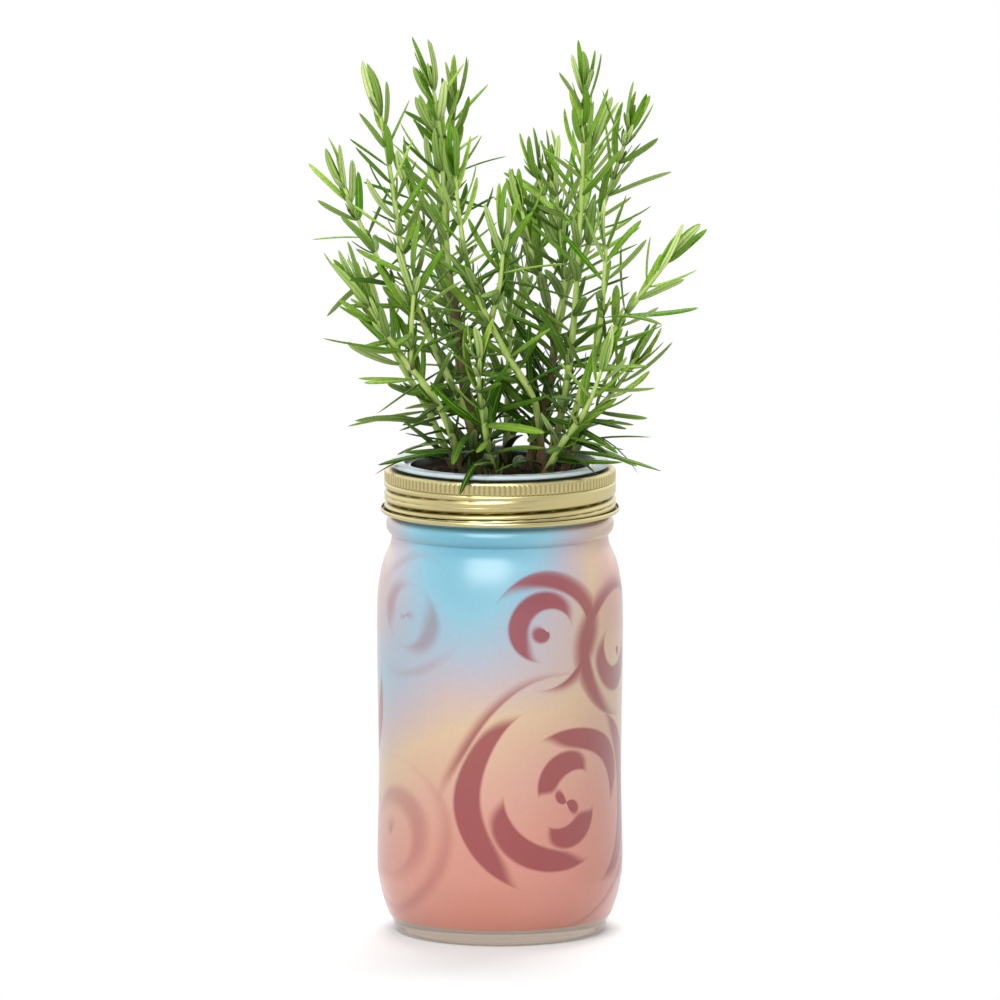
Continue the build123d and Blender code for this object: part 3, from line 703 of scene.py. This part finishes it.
def screw_band(material):
    corner = 0.9
    middle = (CURL_REACH - CURL_RADIUS, BAND_LOW + CURL_RADIUS)
    inner = CURL_RADIUS - SHEET
    top = KNURL_LOW - 0.35
    low = middle[1] + 0.45
    rows = 64
    wall = [mix(top, low, row / rows) for row in range(rows + 1)]
    knurl = [KNURL_HIGH - 0.15, KNURL_HIGH - 0.6, (KNURL_LOW + KNURL_HIGH) / 2, KNURL_LOW + 0.5,
             KNURL_LOW + 0.15]
    outer = (
        [(FLANGE_RADIUS, BAND_TOP - 0.08), (FLANGE_RADIUS + 0.12, BAND_TOP), (41.0, BAND_TOP - 0.25),
         (42.6, BAND_TOP - 0.1)]
        + arc2((BAND_WALL_RADIUS - 0.1 - corner, BAND_TOP - corner), corner, 90, 10, 6)
        + [(BAND_WALL_RADIUS + 0.04, KNURL_HIGH)]
        + [(KNURL_RADIUS, height) for height in knurl]
        + [(BAND_WALL_RADIUS, KNURL_LOW), (BAND_WALL_RADIUS - 0.12, KNURL_LOW - 0.2)]
        + [(BAND_WALL_RADIUS, height) for height in wall]
        + arc2(middle, inner, -170, 40, 10)
        + arc2(middle, CURL_RADIUS, 40, -120, 14)
    )
    inner_radius = BAND_WALL_RADIUS - SHEET
    inside = (
        [(inner_radius, height) for height in reversed(wall)]
        + [(inner_radius, BAND_TOP - SHEET - corner), (inner_radius - 0.3, BAND_TOP - SHEET - 0.25),
           (inner_radius - corner, BAND_TOP - SHEET), (FLANGE_RADIUS, BAND_TOP - SHEET)]
    )
    return lathe("band", outer + inside, KNURL_COUNT * 6, material, push=band_push, sharp=50.0)


def seat_ring(material):
    round_off = 0.6
    inner_round = 0.5
    outline = (
        [(RING_LEDGE, RING_GASKET_LOW), (RING_GASKET, RING_GASKET_LOW), (RING_GASKET, RING_GASKET_TOP),
         (RING_WEB, RING_GASKET_TOP), (RING_WEB, RING_LIP_LOW)]
        + arc2((RING_OUTER - round_off, RING_LIP_LOW + round_off), round_off, -90, 0, 5)
        + arc2((RING_OUTER - round_off, RING_TOP - round_off), round_off, 0, 90, 5)
        + arc2((RING_INNER + inner_round, RING_TOP - inner_round), inner_round, 90, 180, 5)
        + [(RING_INNER, LEDGE_HEIGHT), (RING_LEDGE, LEDGE_HEIGHT)]
    )
    return lathe("collar", outline, 160, material)


# Plant

# Stops along each sprig's main and side shoot, in hundredths of PLANT_REACH twice and PLANT_HEIGHT
SPRIG_ROUTES = {
    "sprig_left": [
        [(-11, -5, 0), (-17, -10, 15), (-34, -16, 34), (-48, -19, 53), (-55, -19, 77), (-61, -18, 95)],
        [(-41, -17.5, 43), (-56, -12, 51), (-70, -6, 64), (-80, -2, 75)],
    ],
    "sprig_left_tall": [
        [(-10, 6, 0), (-20, 10, 30), (-25, 12, 47), (-28, 13, 64), (-30, 13, 85), (-34, 12, 100)],
        [(-27.7, 13, 62), (-26.5, 21, 80), (-23, 26, 95)],
    ],
    "sprig_crossing": [
        [(22, -10, 0), (18, -18, 19), (3, -27, 33), (-12, -30, 49), (-19, -30, 63), (-23, -28, 80)],
        [(-5, -28.7, 41), (0, -34, 52), (2, -37, 64)],
    ],
    "sprig_right_tall": [
        [(25, -2, 0), (33, -8, 20), (37, -11, 36), (40, -12, 57), (42, -10, 78), (43, -7, 100)],
        [(39.3, -11.8, 52), (47, -2, 62), (56, 5, 74), (66, 9, 89)],
    ],
    "sprig_woody": [
        [(14, 9, 0), (24, 8, 20), (28, 8, 34), (22, 10, 47), (16, 12, 57), (11, 13, 68)],
        [(27.7, 8, 36), (33, 15, 48), (31, 21, 62), (28, 25, 75)],
    ],
    "sprig_right_far": [
        [(33, -15, 0), (38, -20, 16), (46, -23, 29), (57, -24, 38), (72, -23, 48), (86, -20, 57)],
        [(46, -23, 29), (51, -31, 40), (53, -35, 52), (54, -36, 62)],
    ],
    "sprig_right_low": [
        [(34, 8, 0), (42, 10, 11), (55, 12, 18), (67, 14, 26)],
    ],
    "sprig_left_low": [
        [(-18, -15, 0), (-30, -24, 18), (-45, -30, 29), (-60, -32, 40), (-71, -31, 49)],
        [(-45, -30, 29), (-45, -37, 42), (-43, -41, 54)],
    ],
    "sprig_back_left": [
        [(-12, 22, 0), (-20, 36, 22), (-28, 47, 48), (-32, 54, 72), (-34, 57, 84)],
        [(-28, 47, 48), (-39, 45, 60), (-48, 43, 73)],
    ],
    "sprig_back_right": [
        [(16, 24, 0), (25, 38, 22), (35, 50, 46), (44, 59, 70), (48, 62, 82)],
        [(35, 50, 46), (28, 45, 60), (20, 43, 74)],
    ],
    "sprig_back_low": [
        [(3, 32, 0), (4, 46, 16), (5, 61, 34), (4, 71, 50)],
        [(5, 61, 34), (13, 62, 47), (17, 60, 61)],
    ],
    "sprig_back_left_low": [
        [(-24, 14, 0), (-38, 27, 15), (-55, 38, 29), (-66, 44, 42)],
    ],
    "sprig_front": [
        [(-3, -24, 0), (-7, -36, 12), (-10, -46, 23), (-11, -52, 33)],
    ],
    "sprig_front_right": [
        [(22, -26, 0), (33, -38, 11), (44, -49, 20), (52, -55, 31)],
    ],
}

LEAF_LEAN_LOW = 94.0
LEAF_LEAN_HIGH = 30.0
LEAF_LEAN_VARY_SHARE = 0.22
LEAF_TURN = 97.0
LEAF_TURN_VARY = 24.0
LEAF_ROLL_VARY = 26.0
LEAF_LENGTH_LOW_SHARE = 1.0
LEAF_LENGTH_HIGH_SHARE = 0.58
LEAF_LENGTH_VARY_SHARE = 0.22
LEAF_BEND_LOW_SHARE = -0.20
LEAF_BEND_HIGH_SHARE = 0.16
LEAF_BEND_VARY_SHARE = 0.21
LEAF_SWAY_VARY_SHARE = 0.20
LEAF_WIDTH_VARY_SHARE = 0.2
LEAF_WIDTH_HIGH_SHARE = 0.8
LEAF_SAMPLE_SHARES = [0.0, 0.14, 0.28, 0.42, 0.56, 0.70, 0.84, 0.98]
TIP_LEAF_COUNT = 4
TIP_LEAF_LEAN_SHARE = 0.6
LEAF_ATTEMPTS = 6
LEAF_ATTEMPT_LEAN_SHARE = 0.11
FIRST_LEAF_SHARE = 0.04
SIDE_SHOOT_FIRST_LEAF_SHARE = 0.18
STEPS_PER_SPAN = 3

# Leaves that hang over the rim: share of the way up the main stem, the tip in hundredths as above,
# the rise of the leaf's middle as a share of its length, and its width as a share
DRAPED_LEAVES = {
    "sprig_front": [(0.30, (-20.5, -66, -1.4), 0.17, 0.8)],
    "sprig_left_low": [(0.16, (-64, -16, 0.2), 0.16, 0.8)],
    "sprig_right_low": [(0.42, (71, 8, -1.4), 0.19, 0.55), (0.36, (56, -11, 5), 0.12, 0.9)],
    "sprig_front_right": [(0.32, (49, -42, 2.3), 0.17, 1.2)],
}
DRAPED_LEAF_AGE = 0.9


def place(stop):
    x, y, z = (value / 100 for value in stop)
    return Vector((x * PLANT_REACH, y * PLANT_REACH, MEDIUM_TOP + MEDIUM_CROWN + z * PLANT_HEIGHT))


def smooth(points, steps):
    """Points of a smooth curve through the given ones, with steps pieces to each span."""
    padded = [points[0] * 2 - points[1]] + points + [points[-1] * 2 - points[-2]]
    spans = zip(padded, padded[1:], padded[2:], padded[3:])
    return [spline(*around, step / steps) for around in spans for step in range(steps)] + [points[-1]]


def vary(seed):
    """A repeatable number from -1 to 1."""
    wave = math.sin(seed * 12.9898) * 43758.5453
    return 2 * (wave - math.floor(wave)) - 1


def mix(low, high, share):
    return low + (high - low) * share


@dataclass
class Leaf:
    """A narrow leaf: its root, its reach to the tip, the rise of its middle, its side and half width."""
    root: Vector
    reach: Vector
    rise: Vector
    side: Vector
    half: float
    age: float
    seed: int

    def point(self, share):
        return self.root + self.reach * share + self.rise * (4 * share * (1 - share))

    def upward(self, share):
        along = self.reach + self.rise * (4 - 8 * share)
        return self.side.cross(along).normalized()

    def traces(self):
        """Where the leaf is: points, with the half width as a vector at each."""
        across = tuple(self.side * self.half)
        return [(tuple(self.point(share)), across) for share in LEAF_SAMPLE_SHARES]


def square_to(heading):
    """Two directions square to a heading and to each other."""
    across = heading.cross(Vector((0, 1, 0))).normalized()
    return across, across.cross(heading)


def leaning(heading, turn, lean):
    """The way that a leaf grows, turned round its stem and leaning from it, and the way up from it."""
    across, forward = square_to(heading)
    outward = across * math.cos(turn) + forward * math.sin(turn)
    along = outward * math.sin(lean) + heading * math.cos(lean)
    return along, heading * math.sin(lean) - outward * math.cos(lean)


def stem_samples(points, spacing):
    """Points at even distances along the curve, each with its heading and share of the length."""
    lengths = [0.0]
    for a, b in zip(points, points[1:]):
        lengths.append(lengths[-1] + (b - a).length)
    samples = []
    count = int(lengths[-1] / spacing)
    for index in range(1, count + 1):
        want = lengths[-1] * index / count
        span = max(i for i in range(len(points) - 1) if lengths[i] <= want)
        share = (want - lengths[span]) / (lengths[span + 1] - lengths[span])
        heading = (points[span + 1] - points[span]).normalized()
        samples.append((mix(points[span], points[span + 1], share), heading, index / count))
    return samples


class Crowd:
    """Remembers where each sprig is, so that no leaf runs into another sprig."""

    def __init__(self):
        self.cells = {}

    def cells_by(self, point, reach):
        """The cell of a point and those as many cells round it as reach says."""
        steps = range(-reach, reach + 1)
        x, y, z = (int(math.floor(value / CROWD_CELL)) for value in point)
        return [(x + dx, y + dy, z + dz) for dx in steps for dy in steps for dz in steps]

    def add(self, owner, point, across, girth):
        self.cells.setdefault(self.cells_by(point, 0)[0], []).append((owner, point, across, girth))

    def clear(self, owner, point, across, girth):
        """False where another sprig comes close, counting how far both reach towards each other."""
        for cell in self.cells_by(point, 1):
            for other, taken, side, thick in self.cells.get(cell, []):
                if other == owner:
                    continue
                apart = [a - b for a, b in zip(taken, point)]
                gap = math.sqrt(sum(value * value for value in apart))
                reach = abs(sum(a * b for a, b in zip(apart, across)))
                reach += abs(sum(a * b for a, b in zip(apart, side)))
                if gap * (gap - girth - thick - LEAF_GAP) < reach:
                    return False
        return True


def above_rim(point, across):
    """True where a leaf clears the medium, the ring and, outside, the band."""
    x, y, z = point
    radius = math.hypot(x, y)
    low = BAND_LOW + 2 * CURL_RADIUS
    inside = RING_INNER - 4 * LEAF_HALF_WIDTH
    for edge, top in ((KNURL_RADIUS, BAND_TOP), (RING_OUTER, RING_TOP), (inside, MEDIUM_TOP + MEDIUM_CROWN)):
        if radius < edge + RIM_CLEARANCE:
            low = top
    return z - abs(across[2]) > low + RIM_CLEARANCE


def shoot_leaves(owner, crowd, points, first_share):
    """Places the leaves of one shoot in opposite pairs, and a tuft at its tip."""
    leaves = []
    for number, (middle, heading, share) in enumerate(stem_samples(points, LEAF_SPACING)):
        at_tip = share == 1
        if share < first_share:
            continue
        for pair in range(TIP_LEAF_COUNT if at_tip else 2):
            seed = 7 * number + 3 * pair + 31 * len(owner) + 5 * len(points)
            for attempt in range(LEAF_ATTEMPTS):
                turn = LEAF_TURN * number + (360 / TIP_LEAF_COUNT if at_tip else 180) * pair
                turn = math.radians(turn + LEAF_TURN_VARY * vary(seed + 100 * attempt))
                lean = mix(LEAF_LEAN_LOW, LEAF_LEAN_HIGH, share)
                lean *= 1 + LEAF_LEAN_VARY_SHARE * vary(seed + 1)
                lean *= TIP_LEAF_LEAN_SHARE if at_tip else 1
                lean = math.radians(lean * (1 - LEAF_ATTEMPT_LEAN_SHARE * attempt))
                length = LEAF_LENGTH * mix(LEAF_LENGTH_LOW_SHARE, LEAF_LENGTH_HIGH_SHARE, share)
                length *= 1 + LEAF_LENGTH_VARY_SHARE * vary(seed + 2)
                bend = mix(LEAF_BEND_LOW_SHARE, LEAF_BEND_HIGH_SHARE, share)
                bend += LEAF_BEND_VARY_SHARE * vary(seed + 4)
                roll = math.radians(LEAF_ROLL_VARY * vary(seed + 5))
                along, upward = leaning(heading, turn, lean)
                side = along.cross(upward)
                curl = upward * (length * bend) + side * (length * LEAF_SWAY_VARY_SHARE * vary(seed + 6))
                half = LEAF_HALF_WIDTH * mix(1, LEAF_WIDTH_HIGH_SHARE, share)
                half *= 1 + LEAF_WIDTH_VARY_SHARE * vary(seed + 3)
                root = middle - heading * (LEAF_HALF_WIDTH if at_tip else 0)
                side = side * math.cos(roll) + upward * math.sin(roll)
                leaf = Leaf(root, along * length + curl, curl * (-1 / 4), side, half, 1 - share, seed)
                if fits(owner, crowd, leaf):
                    leaves.append(leaf)
                    break
    return leaves


def fits(owner, crowd, leaf):
    """Keeps the leaf's place where it is free."""
    traces = leaf.traces()
    for point, across in traces:
        if not above_rim(point, across) or not crowd.clear(owner, point, across, LEAF_THICKNESS / 2):
            return False
    for point, across in traces:
        crowd.add(owner, point, across, LEAF_THICKNESS / 2)
    return True


def draped_leaves(owner, crowd, points):
    """Long leaves that hang over the rim."""
    leaves = []
    samples = stem_samples(points, LEAF_HALF_WIDTH)
    up = Vector((0, 0, 1))
    for number, (share, tip, rise_share, width_share) in enumerate(DRAPED_LEAVES.get(owner, [])):
        root = min(samples, key=lambda sample: abs(sample[2] - share))[0]
        reach = place(tip) - root
        leaf = Leaf(root, reach, up * (reach.length * rise_share), reach.cross(up).normalized(),
                    LEAF_HALF_WIDTH * width_share, DRAPED_LEAF_AGE, number + 17 * len(owner))
        if fits(owner, crowd, leaf):
            leaves.append(leaf)
    return leaves


# A leaf's cross-section: across from margin to margin as a share of the half width, and up as a
# share of it, above with a groove and rolled margins, then back below with a raised midrib
LEAF_SECTION_SHARES = [
    (-1.0, -0.20, 0), (-0.80, 0.00, 0), (-0.45, 0.10, 0), (-0.12, 0.05, 0), (0.0, -0.04, 0),
    (0.12, 0.05, 0), (0.45, 0.10, 0), (0.80, 0.00, 0), (1.0, -0.20, 0),
    (0.84, -0.34, 1), (0.45, -0.20, 1), (0.14, -0.20, 1), (0.0, -0.36, 1), (-0.14, -0.20, 1),
    (-0.45, -0.20, 1), (-0.84, -0.34, 1),
]
# Painted shade darkens leaves within this radius, less so higher up
SHADE_RADIUS = 62.0
SHADE_HEIGHT = 120.0
LEAF_OUTLINE_SHARES = [
    (0.0, 0.30), (0.05, 0.42), (0.14, 0.74), (0.28, 0.97), (0.45, 1.0), (0.62, 0.98), (0.78, 0.88),
    (0.89, 0.68), (0.96, 0.40), (1.0, 0.08),
]


def inner_shade_share(point):
    """How far inside the plant a point lies, for the painted shade there: 0 outside, 1 within."""
    inward = 1 - math.hypot(point.x, point.y) / SHADE_RADIUS
    low = 1.25 - (point.z - RING_TOP) / SHADE_HEIGHT
    return max(0.0, min(1.0, inward)) * max(0.0, min(1.0, low))


class Greenery:
    """Collects the points, faces and painted values of one sprig."""

    def __init__(self):
        self.points, self.faces, self.kinds, self.blades, self.is_stem = [], [], [], [], []

    def rings(self, rings, kinds, blades, stem):
        """Joins rings of points into a tube with closed ends."""
        start, width = len(self.points), len(rings[0])
        for ring, kind, blade in zip(rings, kinds, blades):
            self.points += ring
            self.kinds += kind
            self.blades += blade
        last = start + (len(rings) - 1) * width
        faces = tube(len(rings), width, start)
        faces.append(tuple(start + index for index in reversed(range(width))))
        faces.append(tuple(last + index for index in range(width)))
        self.faces += faces
        self.is_stem += [stem] * len(faces)

    def leaf(self, leaf):
        rings, kinds, blades = [], [], []
        tone = 0.5 + 0.5 * vary(leaf.seed + 11)
        twist = 0.5 * vary(leaf.seed + 13)
        for share, width_share in LEAF_OUTLINE_SHARES:
            middle = leaf.point(share)
            lift = leaf.upward(share)
            angle = twist * share
            side = leaf.side * math.cos(angle) + lift * math.sin(angle)
            upward = lift * math.cos(angle) - leaf.side * math.sin(angle)
            half = leaf.half * width_share
            # The painted shade at the leaf's middle, by how far inside the plant it lies
            painted_light_depth = inner_shade_share(middle)
            rings.append([middle + side * (across * half) + upward * (up * half)
                          for across, up, _ in LEAF_SECTION_SHARES])
            kinds.append([(tone, float(under), leaf.age, 1.0) for _, _, under in LEAF_SECTION_SHARES])
            blades.append([(abs(across), share, painted_light_depth, 1.0) for across, _, _ in LEAF_SECTION_SHARES])
        self.rings(rings, kinds, blades, False)

    def tuft(self, middle, heading, seed, age):
        """Small leaves in the angle between stem and leaf."""
        for first in range(seed, seed + 5 * TUFT_LEAVES, 5):
            lean = math.radians(TUFT_LEAN + TUFT_LEAN_VARY * vary(first + 1))
            length = TUFT_LENGTH + TUFT_LENGTH_VARY * vary(first + 2)
            along, upward = leaning(heading, math.pi * vary(first), lean)
            curl = upward * (length * 0.15)
            self.leaf(Leaf(middle, along * length + curl, curl * -0.25, along.cross(upward), TUFT_HALF_WIDTH,
                           age * 0.4, first + 3))

    def stem(self, points, radii, ages):
        steps = [(b - a).normalized() for a, b in zip(points, points[1:])]
        headings = [steps[0]] + [(a + b).normalized() for a, b in zip(steps, steps[1:])] + [steps[-1]]
        rings = []
        for number, (point, heading, radius) in enumerate(zip(points, headings, radii)):
            side, front = square_to(heading)
            ring = []
            for corner in range(STEM_SIDES):
                angle = 2 * math.pi * corner / STEM_SIDES
                squared = 1 + 0.07 * math.cos(4 * angle + number)
                ring.append(point + (side * math.cos(angle) + front * math.sin(angle)) * radius * squared)
            rings.append(ring)
        kinds = [[(age, 0.0, 0.0, 1.0)] * STEM_SIDES for age in ages]
        blades = [[(0.0, 0.0, 0.0, 1.0)] * STEM_SIDES] * len(ages)
        self.rings(rings, kinds, blades, True)

    def piece(self, name, looks):
        mesh = bpy.data.meshes.new(name)
        mesh.from_pydata([point * MM for point in self.points], [], self.faces)
        for label, values in (("leaf_kind", self.kinds), ("leaf_blade_and_shade", self.blades),
                              ("stem_kind", self.kinds)):
            layer = mesh.color_attributes.new(label, "FLOAT_COLOR", "POINT")
            layer.data.foreach_set("color", [part for value in values for part in value])
        for look in looks:
            mesh.materials.append(look)
        mesh.polygons.foreach_set("material_index", [int(stem) for stem in self.is_stem])
        mesh.shade_smooth()
        mesh.update()
        return show(name, mesh)


# How far up a main stem its bark reaches
WOODY_SHARE = 0.12
WOODY_SHARES = {"sprig_left_tall": 0.42, "sprig_woody": 0.5, "sprig_left": 0.18, "sprig_back_left": 0.3,
                "sprig_back_right": 0.25}


def plant(looks):
    crowd = Crowd()
    shoots = {}
    for name, routes in SPRIG_ROUTES.items():
        shoots[name] = []
        for order, route in enumerate(routes):
            points = smooth([place(stop) for stop in route], STEPS_PER_SPAN)
            if order == 0:
                points.insert(0, Vector((points[0].x, points[0].y, MEDIUM_TOP - STEM_SINK)))
            thick = STEM_FOOT_RADIUS if order == 0 else SIDE_SHOOT_RADIUS
            shoots[name].append((points, thick))
            for middle, _, share in stem_samples(points, LEAF_HALF_WIDTH):
                crowd.add(name, tuple(middle), (0.0, 0.0, 0.0), mix(thick, STEM_TIP_RADIUS, share))
    hanging = {name: draped_leaves(name, crowd, parts[0][0]) for name, parts in shoots.items()}
    made = {}
    for name, parts in shoots.items():
        greenery = Greenery()
        for leaf in hanging[name]:
            greenery.leaf(leaf)
        for order, (points, thick) in enumerate(parts):
            ups = [index / (len(points) - 1) for index in range(len(points))]
            wood = WOODY_SHARES.get(name, WOODY_SHARE) if order == 0 else 0.0
            ages = [1.0 if up < wood else max(0.0, 0.8 - (up - wood) * 3) for up in ups]
            greenery.stem(points, [mix(thick, STEM_TIP_RADIUS, up) for up in ups], ages)
            first_share = FIRST_LEAF_SHARE if order == 0 else SIDE_SHOOT_FIRST_LEAF_SHARE
            for leaf in shoot_leaves(name, crowd, points, first_share):
                greenery.leaf(leaf)
            for number, (middle, heading, share) in enumerate(stem_samples(points, LEAF_SPACING)):
                if share > first_share and vary(number + 3 * len(name)) > TUFT_RARITY:
                    greenery.tuft(middle, heading, 40 * number + len(name), 1 - share)
        made[name] = greenery.piece(name + "_green", looks)
    return made


# Medium and wick

def grow_medium(material):
    low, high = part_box("grow_medium")
    foot_height, edge_radius = low.z / MM, high.x / MM
    side_steps, crown_steps = 10, 24
    outline = [(0.0, foot_height), (MEDIUM_FOOT_RADIUS * 0.5, foot_height)]
    for step in range(side_steps):
        outline.append((mix(MEDIUM_FOOT_RADIUS, edge_radius, step / side_steps),
                        mix(foot_height, MEDIUM_TOP, step / side_steps)))
    for step in range(crown_steps + 1):
        inward = 1 - step / crown_steps
        outline.append((edge_radius * inward, MEDIUM_TOP + MEDIUM_CROWN * (1 - inward**2)))

    def lumps(radius, _, turn):
        if radius > edge_radius - 0.1 or radius < 0.1:
            return 0.0
        return 0.25 * math.sin(radius * 9.1 + turn * 71) * math.sin(turn * 2 * math.pi * 13 + radius)

    made = lathe("medium", outline, 160, material, push=lumps, sharp=180.0)
    for vertex in made.data.vertices:
        x, y, z = vertex.co / MM
        if z > MEDIUM_TOP - 0.5:
            lump = math.sin(x * 1.9 + 1.3 * math.sin(y * 1.1)) * math.sin(y * 2.3 + math.sin(x * 1.7))
            grit = math.sin(x * 7.3 + y * 3.1) * math.sin(y * 8.9 - x * 2.7)
            vertex.co.z += (0.5 * lump + 0.35 * grit - 0.6) * MM
    return made


def chips(material):
    """Loose flecks of fibre on top of the medium."""
    points, faces = [], []
    for number in range(CHIP_COUNT):
        radius = CHIP_REACH * math.sqrt(0.5 + 0.5 * vary(number * 3 + 1))
        angle = math.pi * vary(number * 3 + 2)
        centre = Vector((radius * math.cos(angle), radius * math.sin(angle),
                         MEDIUM_TOP + MEDIUM_CROWN * (1 - (radius / 34) ** 2) + 0.1 * vary(number)))
        turn = math.pi * vary(number * 7 + 5)
        tilt = 0.5 * vary(number * 7 + 6)
        ahead = Vector((math.cos(turn) * math.cos(tilt), math.sin(turn) * math.cos(tilt), math.sin(tilt)))
        side = ahead.cross(Vector((0, 0, 1))).normalized()
        start = len(points)
        long = 0.8 + 1.1 * abs(vary(number * 5 + 3))
        thin = 0.25 + 0.25 * abs(vary(number * 5 + 4))
        for reach in (ahead * long, side * thin, side.cross(ahead) * thin):
            points += [centre - reach, centre + reach]
        for a, b in ((3, 4), (4, 2), (2, 5), (5, 3)):
            faces.append((start, start + a, start + b))
            faces.append((start + 1, start + b, start + a))
    return mesh_object("medium_chips", points, faces, material, sharp=20.0)


def felt_wick(material):
    low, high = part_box("wick")
    rows, columns = 60, 8
    width = columns + 1
    size = (rows + 1) * width
    points, faces = [], []
    for layer in (-0.5, 0.5):
        for row in range(rows + 1):
            height = mix(low.z / MM, high.z / MM, row / rows)
            for column in range(width):
                across = column / columns - 0.5
                fray = 0.12 * math.sin(height * 2.1 + column * 2.7)
                edge = 0.08 * math.sin(height * 1.7) if column in (0, columns) else 0.0
                puff = 1 - (2 * abs(across)) ** 6 * 0.5
                thick = layer * ((WICK_THICKNESS - 0.3) * puff + fray)
                points.append((across * (WICK_WIDTH - 0.5) + edge, thick, height))
    for row in range(rows):
        for a in range(row * width, row * width + columns):
            b, c, d = a + 1, a + width + 1, a + width
            faces.append((a, b, c, d))
            faces.append((a + size, d + size, c + size, b + size))
    rim = list(range(width)) + [row * width + columns for row in range(1, rows + 1)]
    rim += [rows * width + column for column in reversed(range(columns))]
    rim += [row * width for row in reversed(range(1, rows))]
    for a, b in zip(rim, rim[1:] + rim[:1]):
        faces.append((a, a + size, b + size, b))
    return mesh_object("wick_felt", points, faces, material, sharp=60.0)


# Camera, light and floor

def camera():
    lens = bpy.data.cameras.new("view")
    lens.sensor_width = SENSOR_WIDTH
    lens.lens = SENSOR_WIDTH * PIXELS_PER_METRE * VIEW_DISTANCE / FRAME_PIXELS
    lens.clip_end = 50.0
    made = show("view", lens)
    made.location = (0, -VIEW_DISTANCE * math.cos(VIEW_PITCH),
                     VIEW_AIM_HEIGHT + VIEW_DISTANCE * math.sin(VIEW_PITCH))
    made.rotation_euler = (math.pi / 2 - VIEW_PITCH, 0, 0)
    bpy.context.scene.camera = made


def world():
    """White to the eye and through glass. Reflections see a studio that is darker in front."""
    made = bpy.data.worlds.new("studio")
    bpy.context.scene.world = made
    made.use_nodes = True
    made.node_tree.nodes.clear()
    sky = Nodes(made.node_tree)
    path = sky.node("LightPath").outputs
    parts = sky.node("SeparateXYZ", Vector=sky.node("TexCoord").outputs["Generated"]).outputs
    depth = sky.spread(parts[1], -0.95, 0.35, STUDIO_FRONT, STUDIO_BACK)
    lifted = sky.node("Mix", n0=sky.spread(parts[2], 0.1, 0.9), n2=depth, n3=STUDIO_TOP).outputs[0]
    plain, studio, bright = (sky.shine("Background", WHITE, value) for value in (WORLD_LIGHT, lifted, 1.0))
    direct = sky.math("LESS_THAN", path["Diffuse Depth"], 0.5)
    through = sky.times(path["Is Transmission Ray"], direct)
    clear = sky.math("MAXIMUM", path["Is Camera Ray"], through)
    sky.node("OutputWorld", Surface=sky.blend(clear, sky.blend(path["Is Glossy Ray"], plain, studio), bright))


def lamp(name, place_at, aim, size, power):
    light = bpy.data.lights.new(name, "AREA")
    light.shape = "RECTANGLE"
    light.size, light.size_y = size
    light.energy = power
    made = show(name, light)
    made.location = place_at
    made.rotation_euler = (Vector(aim) - Vector(place_at)).to_track_quat("-Z", "Y").to_euler()


def floor():
    """A white floor that fades into the backdrop, and keeps the shadow under the jar."""
    shader = Shader("floor")
    shader.set(Base_Color=FLOOR_BASE, Roughness=0.9)
    shader.bump(shader.noise(30.0, 2.0, 0.5), 0.02, 0.0005)
    path = shader.node("LightPath").outputs
    seen = shader.math("MAXIMUM", path["Is Camera Ray"], path["Is Glossy Ray"])
    seen = shader.math("MAXIMUM", seen, path["Is Transmission Ray"])
    away = shader.node("VectorMath", n0=shader.coordinates)
    away.operation = "LENGTH"
    matt = shader.node("BsdfDiffuse", Color=FLOOR_SHADE).outputs[0]
    near = shader.node("AddShader", n0=matt, n1=shader.shine("Emission", WHITE, FLOOR_GLOW)).outputs[0]
    far = shader.spread(away.outputs["Value"], FLOOR_FADE_START, FLOOR_FADE_END)
    shown = shader.blend(far, near, shader.shine("Emission", WHITE, 1.0))
    shader.surface(shader.blend(seen, shader.base.outputs[0], shown))
    corners = [(FLOOR_REACH * x, FLOOR_REACH * y, 0) for x, y in ((-1, -1), (1, -1), (1, 1), (-1, 1))]
    made = mesh_object("floor", corners, [(0, 1, 2, 3)], shader.material)
    made.location.z = -FLOOR_DROP * MM


def dress(made, body, stands_for):
    """Puts a piece on its body, in the place of a solid, which it hides."""
    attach(made, body)
    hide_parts(stands_for)


camera()
world()
floor()
lamp("key", *KEY_LAMP)
lamp("top", *TOP_LAMP)

frame["nodes"]["net_pot"].data.materials.clear()
frame["nodes"]["net_pot"].data.materials.append(steel_material())

dress(glass_jar(glass_material()), "jar", "glass_jar")
dress(printed_film(print_material(), print_inside_glow_material()), "jar", "printed_sleeve")
dress(screw_band(gold_material()), "band", "screw_band")
dress(seat_ring(silicone_material()), "collar", "seat_ring")

coir_look = coir_material()
medium = grow_medium(coir_look)
dress(medium, "plug", "grow_medium")
loose = chips(coir_look)
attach(loose, "plug")

strip = felt_wick(felt_material())
dress(strip, "plug", "wick")

for node, sprig in plant((leaf_material(), stem_material())).items():
    dress(sprig, "plug", node)

bpy.context.scene.view_settings.view_transform = "Standard"
